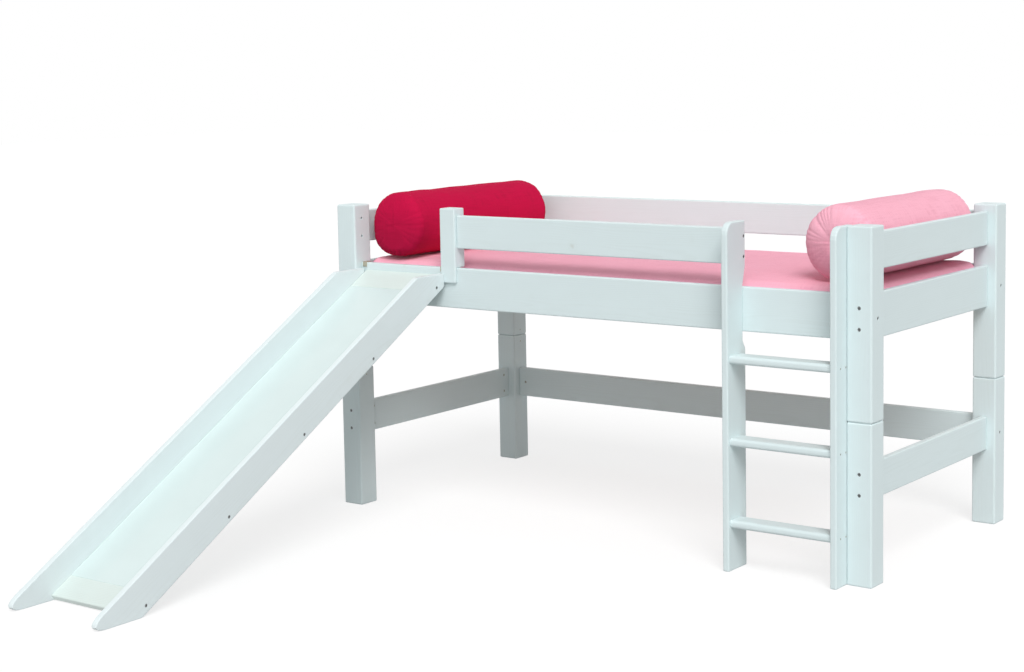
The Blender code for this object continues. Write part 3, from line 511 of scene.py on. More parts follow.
def coated_panel(name, colour, roughness):
    """Smooth hard coat over a flat board, with the faint skin of a roller."""
    material, tree, shader, place = shaded(name)
    coat = placed_group(tree, soft_mottle(), Vector=place, Size=0.30)
    tone = mixed(tree, ramp(tree, coat["Tone"], 0.35, 0.7), rgba(colour, 0.985), rgba(colour, 1.02))
    values = {
        "Base Color": tone,
        "Roughness": scaled(tree, coat["Tone"], 0.10, roughness - 0.05),
        "Normal": bump(tree, coat["Skin"], 0.10, 0.0003),
        "Coat Weight": 0.35,
        "Coat Roughness": 0.12,
    }
    feed(tree, shader, values)
    return material


def bare_pine(name, turn, centre, seed):
    """Planed pine without paint: strong rings, red-brown knots."""
    pine = settings("timber").pine
    sizes = (PINE_KNOT_SPACING, PINE_MOTTLE_SIZE)
    material, tree, shader, lines, spots, wood = wooden(name, turn, centre, seed, *sizes)
    late = tinted(pine, LATE_WOOD_SHARES)
    tone = mixed(tree, wood["Tone"], rgba(pine, 0.94), rgba(pine, 1.10))
    tone = glazed(tree, tone, lines["Rings"], 0.55, late)
    tone = glazed(tree, tone, ramp(tree, lines["Fibres"], 0.5, 0.8), 0.25, late)
    tone = glazed(tree, tone, spots["Halo"], 0.55, late)
    tone = glazed(tree, tone, spots["Core"], 0.85, PINE_KNOT)
    gloss = scaled(tree, lines["Rings"], -0.12, 0.64)
    relief = scaled(tree, lines["Rings"], 0.8, lines["Fibres"])
    normal = bump(tree, relief, 0.35, 0.0004)
    feed(tree, shader, {"Base Color": tone, "Roughness": gloss, "Normal": normal})
    return material


def plain_steel(name, colour, roughness):
    """Rolled or turned steel: fine scratches and a cloudy finish."""
    material, tree, shader, place = shaded(name)
    cloud = placed_group(tree, soft_mottle(), Vector=place, Size=0.008)
    scratches = speckle(tree, stretched(tree, place, (1.0, 1.0, 0.04)), 1800.0, 2.0)
    values = {
        "Base Color": mixed(tree, cloud["Tone"], rgba(colour, 0.72), rgba(colour, 1.22)),
        "Roughness": scaled(tree, cloud["Tone"], 0.22, roughness - 0.08),
        "Normal": bump(tree, scratches, 0.18, 0.0001),
        "Metallic": 1.0,
    }
    feed(tree, shader, values)
    return material


def cotton(name, colour, deep, shading):
    """Dyed cotton: a plain weave on the piece's own map, slubs, and a soft sheen at grazing angles.

    The shading is painted light and shade: a second colour, its share, and the Y and Z ranges over which it
    is painted in, lighter on the mattress's sides and darker on the bolsters' lower near ends.
    """
    thread = settings("bedding").thread
    material, tree, shader, place = shaded(name)
    cloth = node(tree, "ShaderNodeUVMap", uv_map="cloth").outputs["UV"]
    weave = placed_group(tree, plain_weave(), Vector=cloth, Thread=thread)
    wear = placed_group(tree, soft_mottle(), Vector=place, Size=0.16)
    low = rgba(deep)
    gaps = mixed(tree, 0.35, rgba(colour), low)
    tone = mixed(tree, ramp(tree, weave["Height"], 0.2, 1.0), gaps, rgba(colour))
    tone = glazed(tree, tone, ramp(tree, weave["Slub"], 0.22, 0.42), 0.22, low)
    tone = glazed(tree, tone, ramp(tree, wear["Tone"], 0.42, 0.7), 0.20, rgba(colour, 1.12))
    # Painted light and shade: the second colour is mixed in by place, over the given Y and Z ranges
    second, share, range_y, range_z = shading
    spot = node(tree, "ShaderNodeSeparateXYZ", {"Vector": place}).outputs
    painted_shading_mask = times(tree, ramp(tree, spot["Y"], *range_y), ramp(tree, spot["Z"], *range_z))
    relief = scaled(tree, weave["Height"], 1.0, times(tree, weave["Slub"], 1.4))
    values = {
        "Base Color": glazed(tree, tone, painted_shading_mask, share, rgba(second)),
        "Roughness": scaled(tree, wear["Tone"], 0.10, 0.78),
        "Normal": bump(tree, relief, 0.35, 0.0004),
        "Specular IOR Level": 0.10,
        "Sheen Weight": 0.10,
        "Sheen Roughness": 0.45,
        "Sheen Tint": rgba(colour, 1.2),
    }
    feed(tree, shader, values)
    return material


# Mesh helpers


def clear_selection():
    if bpy.context.mode != "OBJECT":
        bpy.ops.object.mode_set(mode="OBJECT")
    bpy.ops.object.select_all(action="DESELECT")


def activate(target):
    """Selects the object alone and makes it the active one."""
    clear_selection()
    target.select_set(True)
    bpy.context.view_layer.objects.active = target


def take_new(name):
    """The object that an add operator has just made, named."""
    made = bpy.context.active_object
    made.name = name
    made.data.name = name
    return made


def in_edit(target, element="FACE"):
    """Edit mode with nothing selected. Returns the mesh that is being edited."""
    activate(target)
    bpy.ops.object.mode_set(mode="EDIT")
    bpy.ops.mesh.select_mode(type=element)
    bpy.ops.mesh.select_all(action="DESELECT")
    return bmesh.from_edit_mesh(target.data)


def pick(mesh, elements, wanted):
    """Selects those of the elements that pass the test."""
    for element in elements:
        if wanted(element):
            element.select_set(True)
    mesh.select_flush_mode()


def leave_edit():
    bpy.ops.object.mode_set(mode="OBJECT")


def apply_modifier(target, kind, **options):
    activate(target)
    made = target.modifiers.new(kind.lower(), kind)
    for option, value in options.items():
        setattr(made, option, value)
    bpy.ops.object.modifier_apply(modifier=made.name)


def discard(target):
    bpy.data.objects.remove(target)


def set_in_place(target):
    """Puts the object's place, turn and size into its mesh."""
    activate(target)
    bpy.ops.object.transform_apply(location=True, rotation=True, scale=True)


def new_block(name, centre, size, turn=(0, 0, 0)):
    """Box round a point."""
    clear_selection()
    bpy.ops.mesh.primitive_cube_add(size=1, location=centre, rotation=turn, scale=size)
    made = take_new(name)
    set_in_place(made)
    return made


def new_box(name, low, high):
    """Box between two corners."""
    return new_block(name, (low + high) / 2, high - low)


def new_rod(name, radius, length, centre=(0, 0, 0), turn=(0, 0, 0), sides=24):
    """Cylinder round a point, upright before its turn."""
    clear_selection()
    bpy.ops.mesh.primitive_cylinder_add(
        vertices=sides, radius=radius, depth=length, location=centre, rotation=turn
    )
    made = take_new(name)
    set_in_place(made)
    return made


def round_edges(target, width, steps, least_angle):
    """Rounds every edge that turns by more than the angle, in degrees."""
    limit = math.radians(least_angle)
    apply_modifier(target, "BEVEL", width=width, segments=steps, limit_method="ANGLE", angle_limit=limit)


def cut_away(target, cutter):
    """Takes the cutter's shape out of the target and the cutter out of the scene."""
    apply_modifier(target, "BOOLEAN", operation="DIFFERENCE", solver="EXACT", object=cutter)
    discard(cutter)


def copied(master, name, point, outward, sunk, roll=0.0, along=(0, 0, 1)):
    """Copy of a fixing that faces +Z: sunk below the point, looking outward, its own X laid along."""
    made = master.copy()
    made.data = master.data.copy()
    made.name = name
    bpy.context.scene.collection.objects.link(made)
    facing, across = Vector(outward), Vector(along)
    turn = Matrix((across, facing.cross(across), facing)).transposed().to_4x4()
    place = Matrix.Translation(Vector(point) - facing * sunk)
    made.data.transform(place @ turn @ Matrix.Rotation(roll, 4, "Z"))
    return made


def dress(node_name, material):
    """Gives a carried-over CAD node its material."""
    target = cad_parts[node_name]
    for slot in target.material_slots:
        slot.material = material


def middle(node_name):
    low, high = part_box(node_name)
    return (low + high) / 2


# Painted timber


def board_turns():
    """Every painted board with the way its grain runs."""
    turns = {}
    for side_name, _ in SIDES:
        for depth_name, _ in DEPTHS:
            turns[f"post_{depth_name}_{side_name}"] = UPRIGHT
            turns[f"leg_{depth_name}_{side_name}"] = UPRIGHT
        for board in ("end_rail", "end_guard", "end_stretcher"):
            turns[f"{board}_{side_name}"] = ACROSS_BED
        turns[f"ladder_stile_{side_name}"] = UPRIGHT
    for board in ("side_rail_front", "side_rail_back", "guard_rail_front", "guard_rail_back"):
        turns[board] = ALONG_BED
    for index in (1, 2, 3):
        turns[f"ladder_rung_{index}"] = ALONG_BED
        turns[f"slide_batten_{index}"] = ALONG_BED
    turns["stretcher_back"] = ALONG_BED
    turns["guard_support"] = UPRIGHT
    return turns


class SLIDEBED_OT_paint_boards(bpy.types.Operator):
    """Paint the posts, boards, ladder, support and battens"""

    bl_idname = "slide_bed.paint_boards"
    bl_label = "Paint boards"

    def execute(self, context):
        timber = settings("timber")
        for seed, (name, turn) in enumerate(board_turns().items(), 1):
            # The back guard takes the lighter copy of the paint, as painted light
            colour = timber.back_paint if name == "guard_rail_back" else timber.paint
            material = painted_board(
                f"satin_{name}", turn, middle(name), seed, colour, timber.paint_roughness
            )
            dress(name, material)
        return {"FINISHED"}


class SLIDEBED_OT_coat_slide(bpy.types.Operator):
    """Coat the sliding panel and its top and foot boards"""

    bl_idname = "slide_bed.coat_slide"
    bl_label = "Coat slide"

    def execute(self, context):
        timber = settings("timber")
        dress("slide_panel", coated_panel("hard_coat_panel", timber.panel, timber.panel_roughness))
        for seed, name in enumerate(("slide_top_board", "slide_foot_board"), 40):
            coat = (timber.cream, CROSSBOARD_ROUGHNESS, CROSSBOARD_GRAIN, CROSSBOARD_KNOTS)
            dress(name, painted_board(f"cream_{name}", ALONG_BED, middle(name), seed, *coat))
        return {"FINISHED"}


class SLIDEBED_OT_cut_hooks(bpy.types.Operator):
    """Make the bent hooks that hang the slide on the side rail"""

    bl_idname = "slide_bed.cut_hooks"
    bl_label = "Cut hooks"

    def execute(self, context):
        zinc = plain_steel("dull_zinc", settings("fixings").hook, 0.45)
        rail_low, rail_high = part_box("side_rail_front")
        support_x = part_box("guard_support")[0].x
        around = Vector((0, HOOK_STEEL, HOOK_STEEL))
        for side_name, side in SIDES:
            low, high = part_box(f"slide_hook_{side_name}")
            low_x = low.x if side > 0 else low.x - HOOK_OVER_SIDE
            high_x = support_x - FIT_GAP if side > 0 else high.x
            room = FIT_GAP + HOOK_STEEL
            low = Vector((low_x, rail_low.y - room, rail_high.z - HOOK_DROP))
            high = Vector((high_x, rail_high.y + room, rail_high.z + room))
            hook = new_box(f"hook_strip_{side_name}", low, high)
            bevel_edges(hook, HOOK_STEEL, 4, lambda edge: self.bent(edge, high.z))
            slot_low, slot_high = low + around, high - around
            slot_low.x, slot_high.x = low.x - CUT_OVERRUN, high.x + CUT_OVERRUN
            slot_low.z = low.z - CUT_OVERRUN
            cut_away(hook, new_box("rail_cutter", slot_low, slot_high))
            round_edges(hook, HOOK_EDGE, 1, 50)
            smooth_fixing(hook, zinc)
            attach(hook, "slide")
            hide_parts(f"slide_hook_{side_name}")
        return {"FINISHED"}

    def bent(self, edge, top):
        """Whether an edge lies at the top and runs along the bed, where the strip is bent."""
        first, second = (corner.co for corner in edge.verts)
        at_top = top - min(first.z, second.z) < SAME_PLACE
        return at_top and abs(first.x - second.x) > SAME_PLACE


class SLIDEBED_OT_shape_sides(bpy.types.Operator):
    """Shape the slide's side boards with their round tips"""

    bl_idname = "slide_bed.shape_sides"
    bl_label = "Shape slide sides"

    def execute(self, context):
        timber = settings("timber")
        sine, cosine = math.sin(SLIDE_ANGLE), math.cos(SLIDE_ANGLE)
        panel_low, panel_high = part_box("slide_panel")
        for seed, (side_name, side) in enumerate(SIDES, 70):
            low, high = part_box(f"slide_side_{side_name}")
            slope = sine / cosine
            head = high.z
            tip_y = low.y - SIDE_TIP_SETBACK
            corner_y = tip_y + head / slope
            bottom_y = tip_y + SIDE_BOARD / sine
            outline = (
                (high.y, head, SIDE_CORNER_RADIUS),
                (corner_y, head, SIDE_HEAD_RADIUS),
                (tip_y, 0.0, SIDE_TIP_RADIUS),
                (bottom_y, 0.0, SIDE_CORNER_RADIUS),
                (high.y, (high.y - bottom_y) * slope, SIDE_CORNER_RADIUS),
            )
            board = self.prism(f"side_board_{side_name}", low.x, high.x, outline)
            self.cut_groove(board, side, low, high, panel_low, panel_high)
            self.cut_bores(board, side_name)
            centre = (low + high) / 2
            # The side boards take the lighter copy of the paint, as painted light
            coat = (timber.side_paint, timber.paint_roughness)
            smooth_fixing(
                board, painted_board(f"satin_side_board_{side_name}", DOWN_SLIDE, centre, seed, *coat)
            )
            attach(board, "slide")
            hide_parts(f"slide_side_{side_name}")
        return {"FINISHED"}

    def prism(self, name, low_x, high_x, outline):
        """Board from a five-cornered outline, its corners and then its edges rounded."""
        board = new_rod(name, 1, 1, turn=ALONG_X, sides=len(outline))
        points = coordinates_of(board)
        angles = np.arctan2(points[:, 2], points[:, 1])
        order = {angle: rank for rank, angle in enumerate(sorted({round(angle, 3) for angle in angles}))}
        for index, angle in enumerate(angles):
            y, z, _ = outline[order[round(angle, 3)]]
            points[index] = (high_x if points[index][0] > 0 else low_x, y, z)
        set_coordinates(board, points)
        for y, z, radius in outline:
            width, steps = radius, 2
            if radius > SIDE_CORNER_RADIUS:
                angle = SLIDE_ANGLE if z == 0 else math.pi - SLIDE_ANGLE
                width, steps = radius / math.tan(angle / 2), 8
            bevel_edges(
                board, width, steps, lambda edge: all(math.dist(c.co.yz, (y, z)) < 1e-4 for c in edge.verts)
            )
        round_edges(board, SIDE_EDGE, 2, 60)
        return board

    def cut_groove(self, board, side, low, high, panel_low, panel_high):
        """Groove in the inner face for the edge of the sliding panel."""
        centre = (panel_low + panel_high) / 2
        length = math.hypot(panel_high.y - panel_low.y, panel_high.z - panel_low.z)
        centre.x = low.x if side > 0 else high.x
        size = (2 * GROOVE_DEPTH, length, PANEL_THICKNESS + 2 * FIT_GAP)
        cut_away(board, new_block("groove_cutter", centre, size, (SLIDE_ANGLE, 0, 0)))

    def cut_bores(self, board, side_name):
        """Through bore and sunk head for each bolt."""
        for name, place, _ in slide_bolts():
            if name.startswith(f"slide_{side_name}"):
                for radius, depth in SLIDE_BORES:
                    cut_away(board, new_rod("bore_cutter", radius, depth, place, ALONG_X))


class SLIDEBED_OT_plane_slats(bpy.types.Operator):
    """Give the slats, cleats and seam pins their bare pine"""

    bl_idname = "slide_bed.plane_slats"
    bl_label = "Plane slats"

    def execute(self, context):
        runs = {f"slat_{index:02d}": ACROSS_BED for index in range(1, 13)}
        for depth_name, _ in DEPTHS:
            runs[f"slat_cleat_{depth_name}"] = ALONG_BED
            for side_name, _ in SIDES:
                runs[f"seam_pin_{depth_name}_{side_name}"] = UPRIGHT
        for seed, (name, turn) in enumerate(runs.items(), 50):
            dress(name, bare_pine(f"pine_{name}", turn, middle(name), seed))
        return {"FINISHED"}


# Fixings


def hexagon_cut(target, radius, depth):
    """Hexagon socket, sunk from the face at height zero."""
    cut_away(target, new_rod("socket_cutter", radius, 2 * depth, sides=6))


def cross_cut(target, reach, width, depth):
    """Cross recess: two crossed slots that narrow towards the bottom."""
    for angle in (0, math.radians(90)):
        cutter = new_block("slot_cutter", (0, 0, 0), (2 * reach, width, 2 * depth), (0, 0, angle))
        mesh = in_edit(cutter)
        pick(mesh, mesh.faces, lambda face: face.normal.z < -0.5)
        bpy.ops.transform.resize(value=RECESS_TAPER, center_override=(0, 0, -depth))
        leave_edit()
        cut_away(target, cutter)


def turned_fixing(name, head_radius, head_depth, shank_radius, shank_length):
    """Round head whose outer face is at height zero, drawn down to a shank behind it."""
    made = new_rod(name, head_radius, head_depth, (0, 0, -head_depth / 2), sides=32)
    mesh = in_edit(made)
    pick(mesh, mesh.faces, lambda face: face.normal.z < -0.5)
    bpy.ops.mesh.inset(thickness=head_radius - shank_radius)
    bpy.ops.mesh.extrude_region_move(TRANSFORM_OT_translate={"value": (0, 0, -shank_length)})
    bpy.ops.transform.resize(value=SHANK_TAPER, center_override=(0, 0, -head_depth - shank_length))
    leave_edit()
    round_edges(made, head_radius * HEAD_EDGE_SHARE, 2, 40)
    return made


def barrel_nut(radius):
    """Round nut whose slotted face is at height zero, with a cross bore for the bolt along its own X."""
    nut = new_rod("nut_master", radius, NUT_LENGTH, (0, 0, -NUT_LENGTH / 2), sides=32)
    bore = (0, 0, NUT_SUNK - BOARD_THICKNESS / 2)
    cut_away(nut, new_rod("bore_cutter", BOLT_SHANK_RADIUS + SHANK_GAP, radius * 4, bore, ALONG_X))
    corner = Vector((radius * 2, NUT_SLOT_WIDTH / 2, NUT_SLOT_DEPTH))
    cut_away(nut, new_box("slot_cutter", -corner, corner))
    return nut


def screw_head(radius, depth):
    """Countersunk head with a cross recess, its face at height zero."""
    clear_selection()
    bpy.ops.mesh.primitive_cone_add(
        vertices=28, radius1=radius / 2, radius2=radius, depth=depth, location=(0, 0, -depth / 2)
    )
    screw = take_new("screw_master")
    set_in_place(screw)
    cross_cut(screw, radius * RECESS_REACH, radius * RECESS_WIDTH, depth * RECESS_DEPTH)
    return screw


def smooth_fixing(made, material):
    made.data.materials.append(material)
    activate(made)
    bpy.ops.object.shade_smooth_by_angle(angle=math.radians(35))
    apply_modifier(made, "WEIGHTED_NORMAL", keep_sharp=True)


def frame_bolts():
    """Every bolt of the frame: its name, its hole's centre in the outer face, and the outward way."""
    bolts = []
    for side_name, side in SIDES:
        for depth_name, depth in DEPTHS:
            low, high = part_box(f"post_{depth_name}_{side_name}")
            centre = (low + high) / 2
            face_y = low.y if depth > 0 else high.y
            face_x = high.x if side > 0 else low.x
            rail = middle(f"side_rail_{depth_name}").z
            stretcher = middle(f"end_stretcher_{side_name}").z
            for label, height in (("rail", rail), ("stretcher", stretcher)):
                for row, rise in BOLT_ROWS:
                    point = (centre.x, face_y, height + rise)
                    bolts.append((f"{label}_{row}_{depth_name}_{side_name}", point, (0, -depth, 0)))
            outward = (side, 0, 0)
            bolts.append((f"side_rail_{depth_name}_{side_name}", (face_x, centre.y, rail), outward))
            if depth < 0:
                bolts.append((f"stretcher_back_{side_name}", (face_x, centre.y, stretcher), outward))
    return bolts


def guard_bolts():
    """Bolts through the guard support and the ladder stiles."""
    guard = middle("guard_rail_front").z
    line_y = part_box("side_rail_front")[0].y + STILE_LAP - GUARD_BOLT_INSET
    places = (
        ("support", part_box("guard_support")[0].x, -1),
        ("stile_left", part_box("ladder_stile_left")[1].x, 1),
        ("stile_right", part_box("ladder_stile_right")[0].x, -1),
    )
    return [
        (f"{label}_{row}", (x, line_y, guard + rise), (way, 0, 0))
        for label, x, way in places
        for row, rise in BOLT_ROWS
    ]


def slide_bolts():
    """Centres of the five bolts down each slide side: the middle three in the battens, evenly spaced."""
    first, last = middle("slide_batten_1"), middle("slide_batten_3")
    step = (last - first) / 2
    raised = Vector((0, -math.sin(SLIDE_ANGLE), math.cos(SLIDE_ANGLE))) * END_BOLT_RISE
    centres = [first - step + raised, first, first + step, last, last + step + raised]
    outer = {"left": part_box("slide_side_left")[0].x, "right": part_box("slide_side_right")[1].x}
    return [
        (f"slide_{side_name}_{index}", (outer[side_name], centre.y, centre.z), (side, 0, 0))
        for side_name, side in SIDES
        for index, centre in enumerate(centres, 1)
    ]


def inner_faces():
    """Barrel nuts in the inner faces: the board, the nut's place, its outward way and its bore's way."""
    rows = [rise for _, rise in BOLT_ROWS]
    faces = []
    for side_name, side in SIDES:
        for board in ("end_rail", "end_stretcher"):
            low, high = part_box(f"{board}_{side_name}")
            face_x = low.x if side > 0 else high.x
            heights = [(low.z + high.z) / 2 + row for row in rows]
            ends = (low.y + NUT_INSET, high.y - NUT_INSET)
            name = f"{board}_{side_name}"
            faces += [(name, (face_x, y, z), (-side, 0, 0), (0, 1, 0)) for y in ends for z in heights]
    boards = (
        ("side_rail_front", 1, (0,)),
        ("side_rail_back", -1, (0,)),
        ("stretcher_back", -1, (0,)),
        ("guard_rail_front", 1, rows),
    )
    for board, way, offsets in boards:
        low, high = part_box(board)
        face_y = high.y if way > 0 else low.y
        for x in (low.x + NUT_INSET, high.x - NUT_INSET):
            for offset in offsets:
                place = (x, face_y, (low.z + high.z) / 2 + offset)
                faces.append((board, place, (0, way, 0), (1, 0, 0)))
    return faces


def rung_screws():
    """Two screws into each end of each rung, from the outer faces of the stiles."""
    screws = []
    for side_name, side in SIDES:
        face_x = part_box(f"ladder_stile_{side_name}")[1 if side > 0 else 0].x
        for index in (1, 2, 3):
            centre = middle(f"ladder_rung_{index}")
            for way in (-1, 1):
                place = (face_x, centre.y + way * RUNG_SCREW_PITCH / 2, centre.z)
                screws.append((f"rung_{index}", place, (side, 0, 0)))
    return screws


def seam_screws():
    """Screws that hold the seam pins, one above and one below the seam in each post's inner face."""
    screws = []
    for side_name, side in SIDES:
        for depth_name, _ in DEPTHS:
            low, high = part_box(f"leg_{depth_name}_{side_name}")
            face_x = low.x if side > 0 else high.x
            for rise in (CROSS_ABOVE_SEAM, -CROSS_BELOW_SEAM):
                place = (face_x, (low.y + high.y) / 2, high.z + rise)
                screws.append((f"seam_{depth_name}_{side_name}", place, (-side, 0, 0)))
    return screws


class SLIDEBED_OT_add_bolts(bpy.types.Operator):
    """Add the socket bolts of the frame, the guard and the slide"""

    bl_idname = "slide_bed.add_bolts"
    bl_label = "Add bolts"

    def execute(self, context):
        fixings = settings("fixings")
        steel = plain_steel("dark_steel", fixings.steel, 0.36)
        # Where they go, the head's radius and depth, the shank's length, the body, and how far sunk
        kinds = (
            (frame_bolts(), fixings.head_radius, 0.008, 0.108, "frame", 0.0015),
            (guard_bolts(), fixings.head_radius, 0.007, 0.012, "frame", 0.0015),
            (slide_bolts(), fixings.slide_head_radius, 0.0035, 0.045, "slide", 0.0006),
        )
        for bolts, radius, head, shank, body, sunk in kinds:
            master = turned_fixing("bolt_master", radius, head, BOLT_SHANK_RADIUS, shank)
            hexagon_cut(master, fixings.socket_radius, head * SOCKET_DEPTH)
            smooth_fixing(master, steel)
            for index, (name, point, outward) in enumerate(bolts):
                made = copied(master, f"bolt_{name}", point, outward, sunk, index * BOLT_TWIST)
                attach(made, body)
            discard(master)
        return {"FINISHED"}


class SLIDEBED_OT_add_nuts(bpy.types.Operator):
    """Add the barrel nuts in the inner faces and the screws of the rungs and seam pins"""

    bl_idname = "slide_bed.add_nuts"
    bl_label = "Add nuts and screws"

    def execute(self, context):
        fixings = settings("fixings")
        bright = plain_steel("bright_zinc", fixings.zinc, 0.34)
        nut = barrel_nut(fixings.nut_radius)
        smooth_fixing(nut, bright)
        for index, (board, place, outward, along) in enumerate(inner_faces(), 1):
            made = copied(nut, f"nut_{index:02d}_{board}", place, outward, NUT_SUNK, along=along)
            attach(made, "frame")
        discard(nut)
        # Where they go, the head's radius and depth, and how far sunk
        kinds = (
            (rung_screws(), fixings.screw_radius, 0.0028, 0.0008),
            (seam_screws(), fixings.seam_screw_radius, 0.006, 0.0006),
        )
        for screws, radius, depth, sunk in kinds:
            screw = screw_head(radius, depth)
            smooth_fixing(screw, bright)
            for index, (name, place, outward) in enumerate(screws, 1):
                label = f"screw_{name}_{index:02d}"
                made = copied(screw, label, place, outward, sunk, index * SCREW_TWIST)
                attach(made, "frame")
            discard(screw)
        return {"FINISHED"}


# Bedding


def triples(items, attribute):
    values = np.empty(len(items) * 3)
    items.foreach_get(attribute, values)
    return values.reshape(-1, 3)


def coordinates_of(target):
    return triples(target.data.vertices, "co")


def set_coordinates(target, values):
    target.data.vertices.foreach_set("co", values.reshape(-1))
    target.data.update()


def normals_of(target):
    return triples(target.data.vertex_normals, "vector")


def eased(values, low, high):
    """0 to 1 as the values go from low to high, smooth at both ends."""
    share = np.clip((values - low) / (high - low), 0, 1)
    return share * share * (3 - 2 * share)


def within(values, low, high):
    """1 between two limits, easing to 0 round each of them."""
    reach = (-DIP_OUTSIDE, DIP_INSIDE)
    return eased(values - low, *reach) * eased(high - values, *reach)


def drift(points, scale, seed):
    """Slow noise at each point, about -1 to 1."""
    moved = points * scale + seed * 7.13
    return np.array([noise.noise(Vector(point)) for point in moved]) * 1.6


def inflate(target, voxel, cap, pinned=None):
    """Even quads, blown up by pressure as cloth, no point moved further than the cap, then split once."""
    apply_modifier(target, "REMESH", mode="VOXEL", voxel_size=voxel)
    before = coordinates_of(target)
    activate(target)
    cloth = target.modifiers.new("fabric", "CLOTH")
    for option, value in FABRIC.items():
        setattr(cloth.settings, option, value)
    cloth.settings.effector_weights.gravity = 0
    if pinned is not None:
        group = target.vertex_groups.new(name="pinned")
        held = np.flatnonzero(pinned(before)).tolist()
        group.add(held, 1.0, "REPLACE")
        cloth.settings.vertex_group_mass = "pinned"
    cloth.point_cache.frame_start = 1
    cloth.point_cache.frame_end = SIMULATED_FRAMES
    for frame_number in range(1, SIMULATED_FRAMES + 1):
        bpy.context.scene.frame_set(frame_number)
    bpy.ops.object.modifier_apply(modifier=cloth.name)
    after = coordinates_of(target)
    moved = after - before
    length = np.linalg.norm(moved, axis=1, keepdims=True)
    set_coordinates(target, before + moved * np.minimum(1, cap / np.maximum(length, 1e-9)))
    bpy.context.scene.frame_set(1)
    apply_modifier(target, "SUBSURF", levels=1, render_levels=1)


def map_cloth(target, axis_x=None, axis_z=None):
    """UV map in metres: round the axis where one is given, else flat on whichever way a face looks."""
    mesh = target.data
    layer = mesh.uv_layers.new(name="cloth")
    points = coordinates_of(target)
    corner = np.empty(len(mesh.loops), dtype=np.int32)
    mesh.loops.foreach_get("vertex_index", corner)
    corners = np.empty(len(mesh.polygons), dtype=np.int32)
    mesh.polygons.foreach_get("loop_total", corners)
    normal = np.repeat(triples(mesh.polygons, "normal"), corners, axis=0)
    place = points[corner]
    if axis_x is None:
        flat = np.where(
            np.abs(normal[:, 2:3]) > 0.6,
            place[:, :2],
            np.where(np.abs(normal[:, 1:2]) > 0.6, place[:, [0, 2]], place[:, [1, 2]]),
        )
    else:
        radius = np.hypot(place[:, 0] - axis_x, place[:, 2] - axis_z)
        angle = np.arctan2(place[:, 0] - axis_x, axis_z - place[:, 2])
        round_it = np.stack([angle * np.median(radius), place[:, 1]], 1)
        flat = np.where(np.abs(normal[:, 1:2]) > 0.6, place[:, [0, 2]], round_it)
    layer.data.foreach_set("uv", flat.reshape(-1))


def finish_padding(target, body, material):
    target.data.materials.clear()
    target.data.materials.append(material)
    activate(target)
    bpy.ops.object.shade_smooth()
    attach(target, body)
    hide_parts(body)


def bevel_edges(target, width, steps, wanted):
    mesh = in_edit(target, "EDGE")
    pick(mesh, mesh.edges, wanted)
    bpy.ops.mesh.bevel(offset=width, segments=steps, affect="EDGES")
    leave_edit()


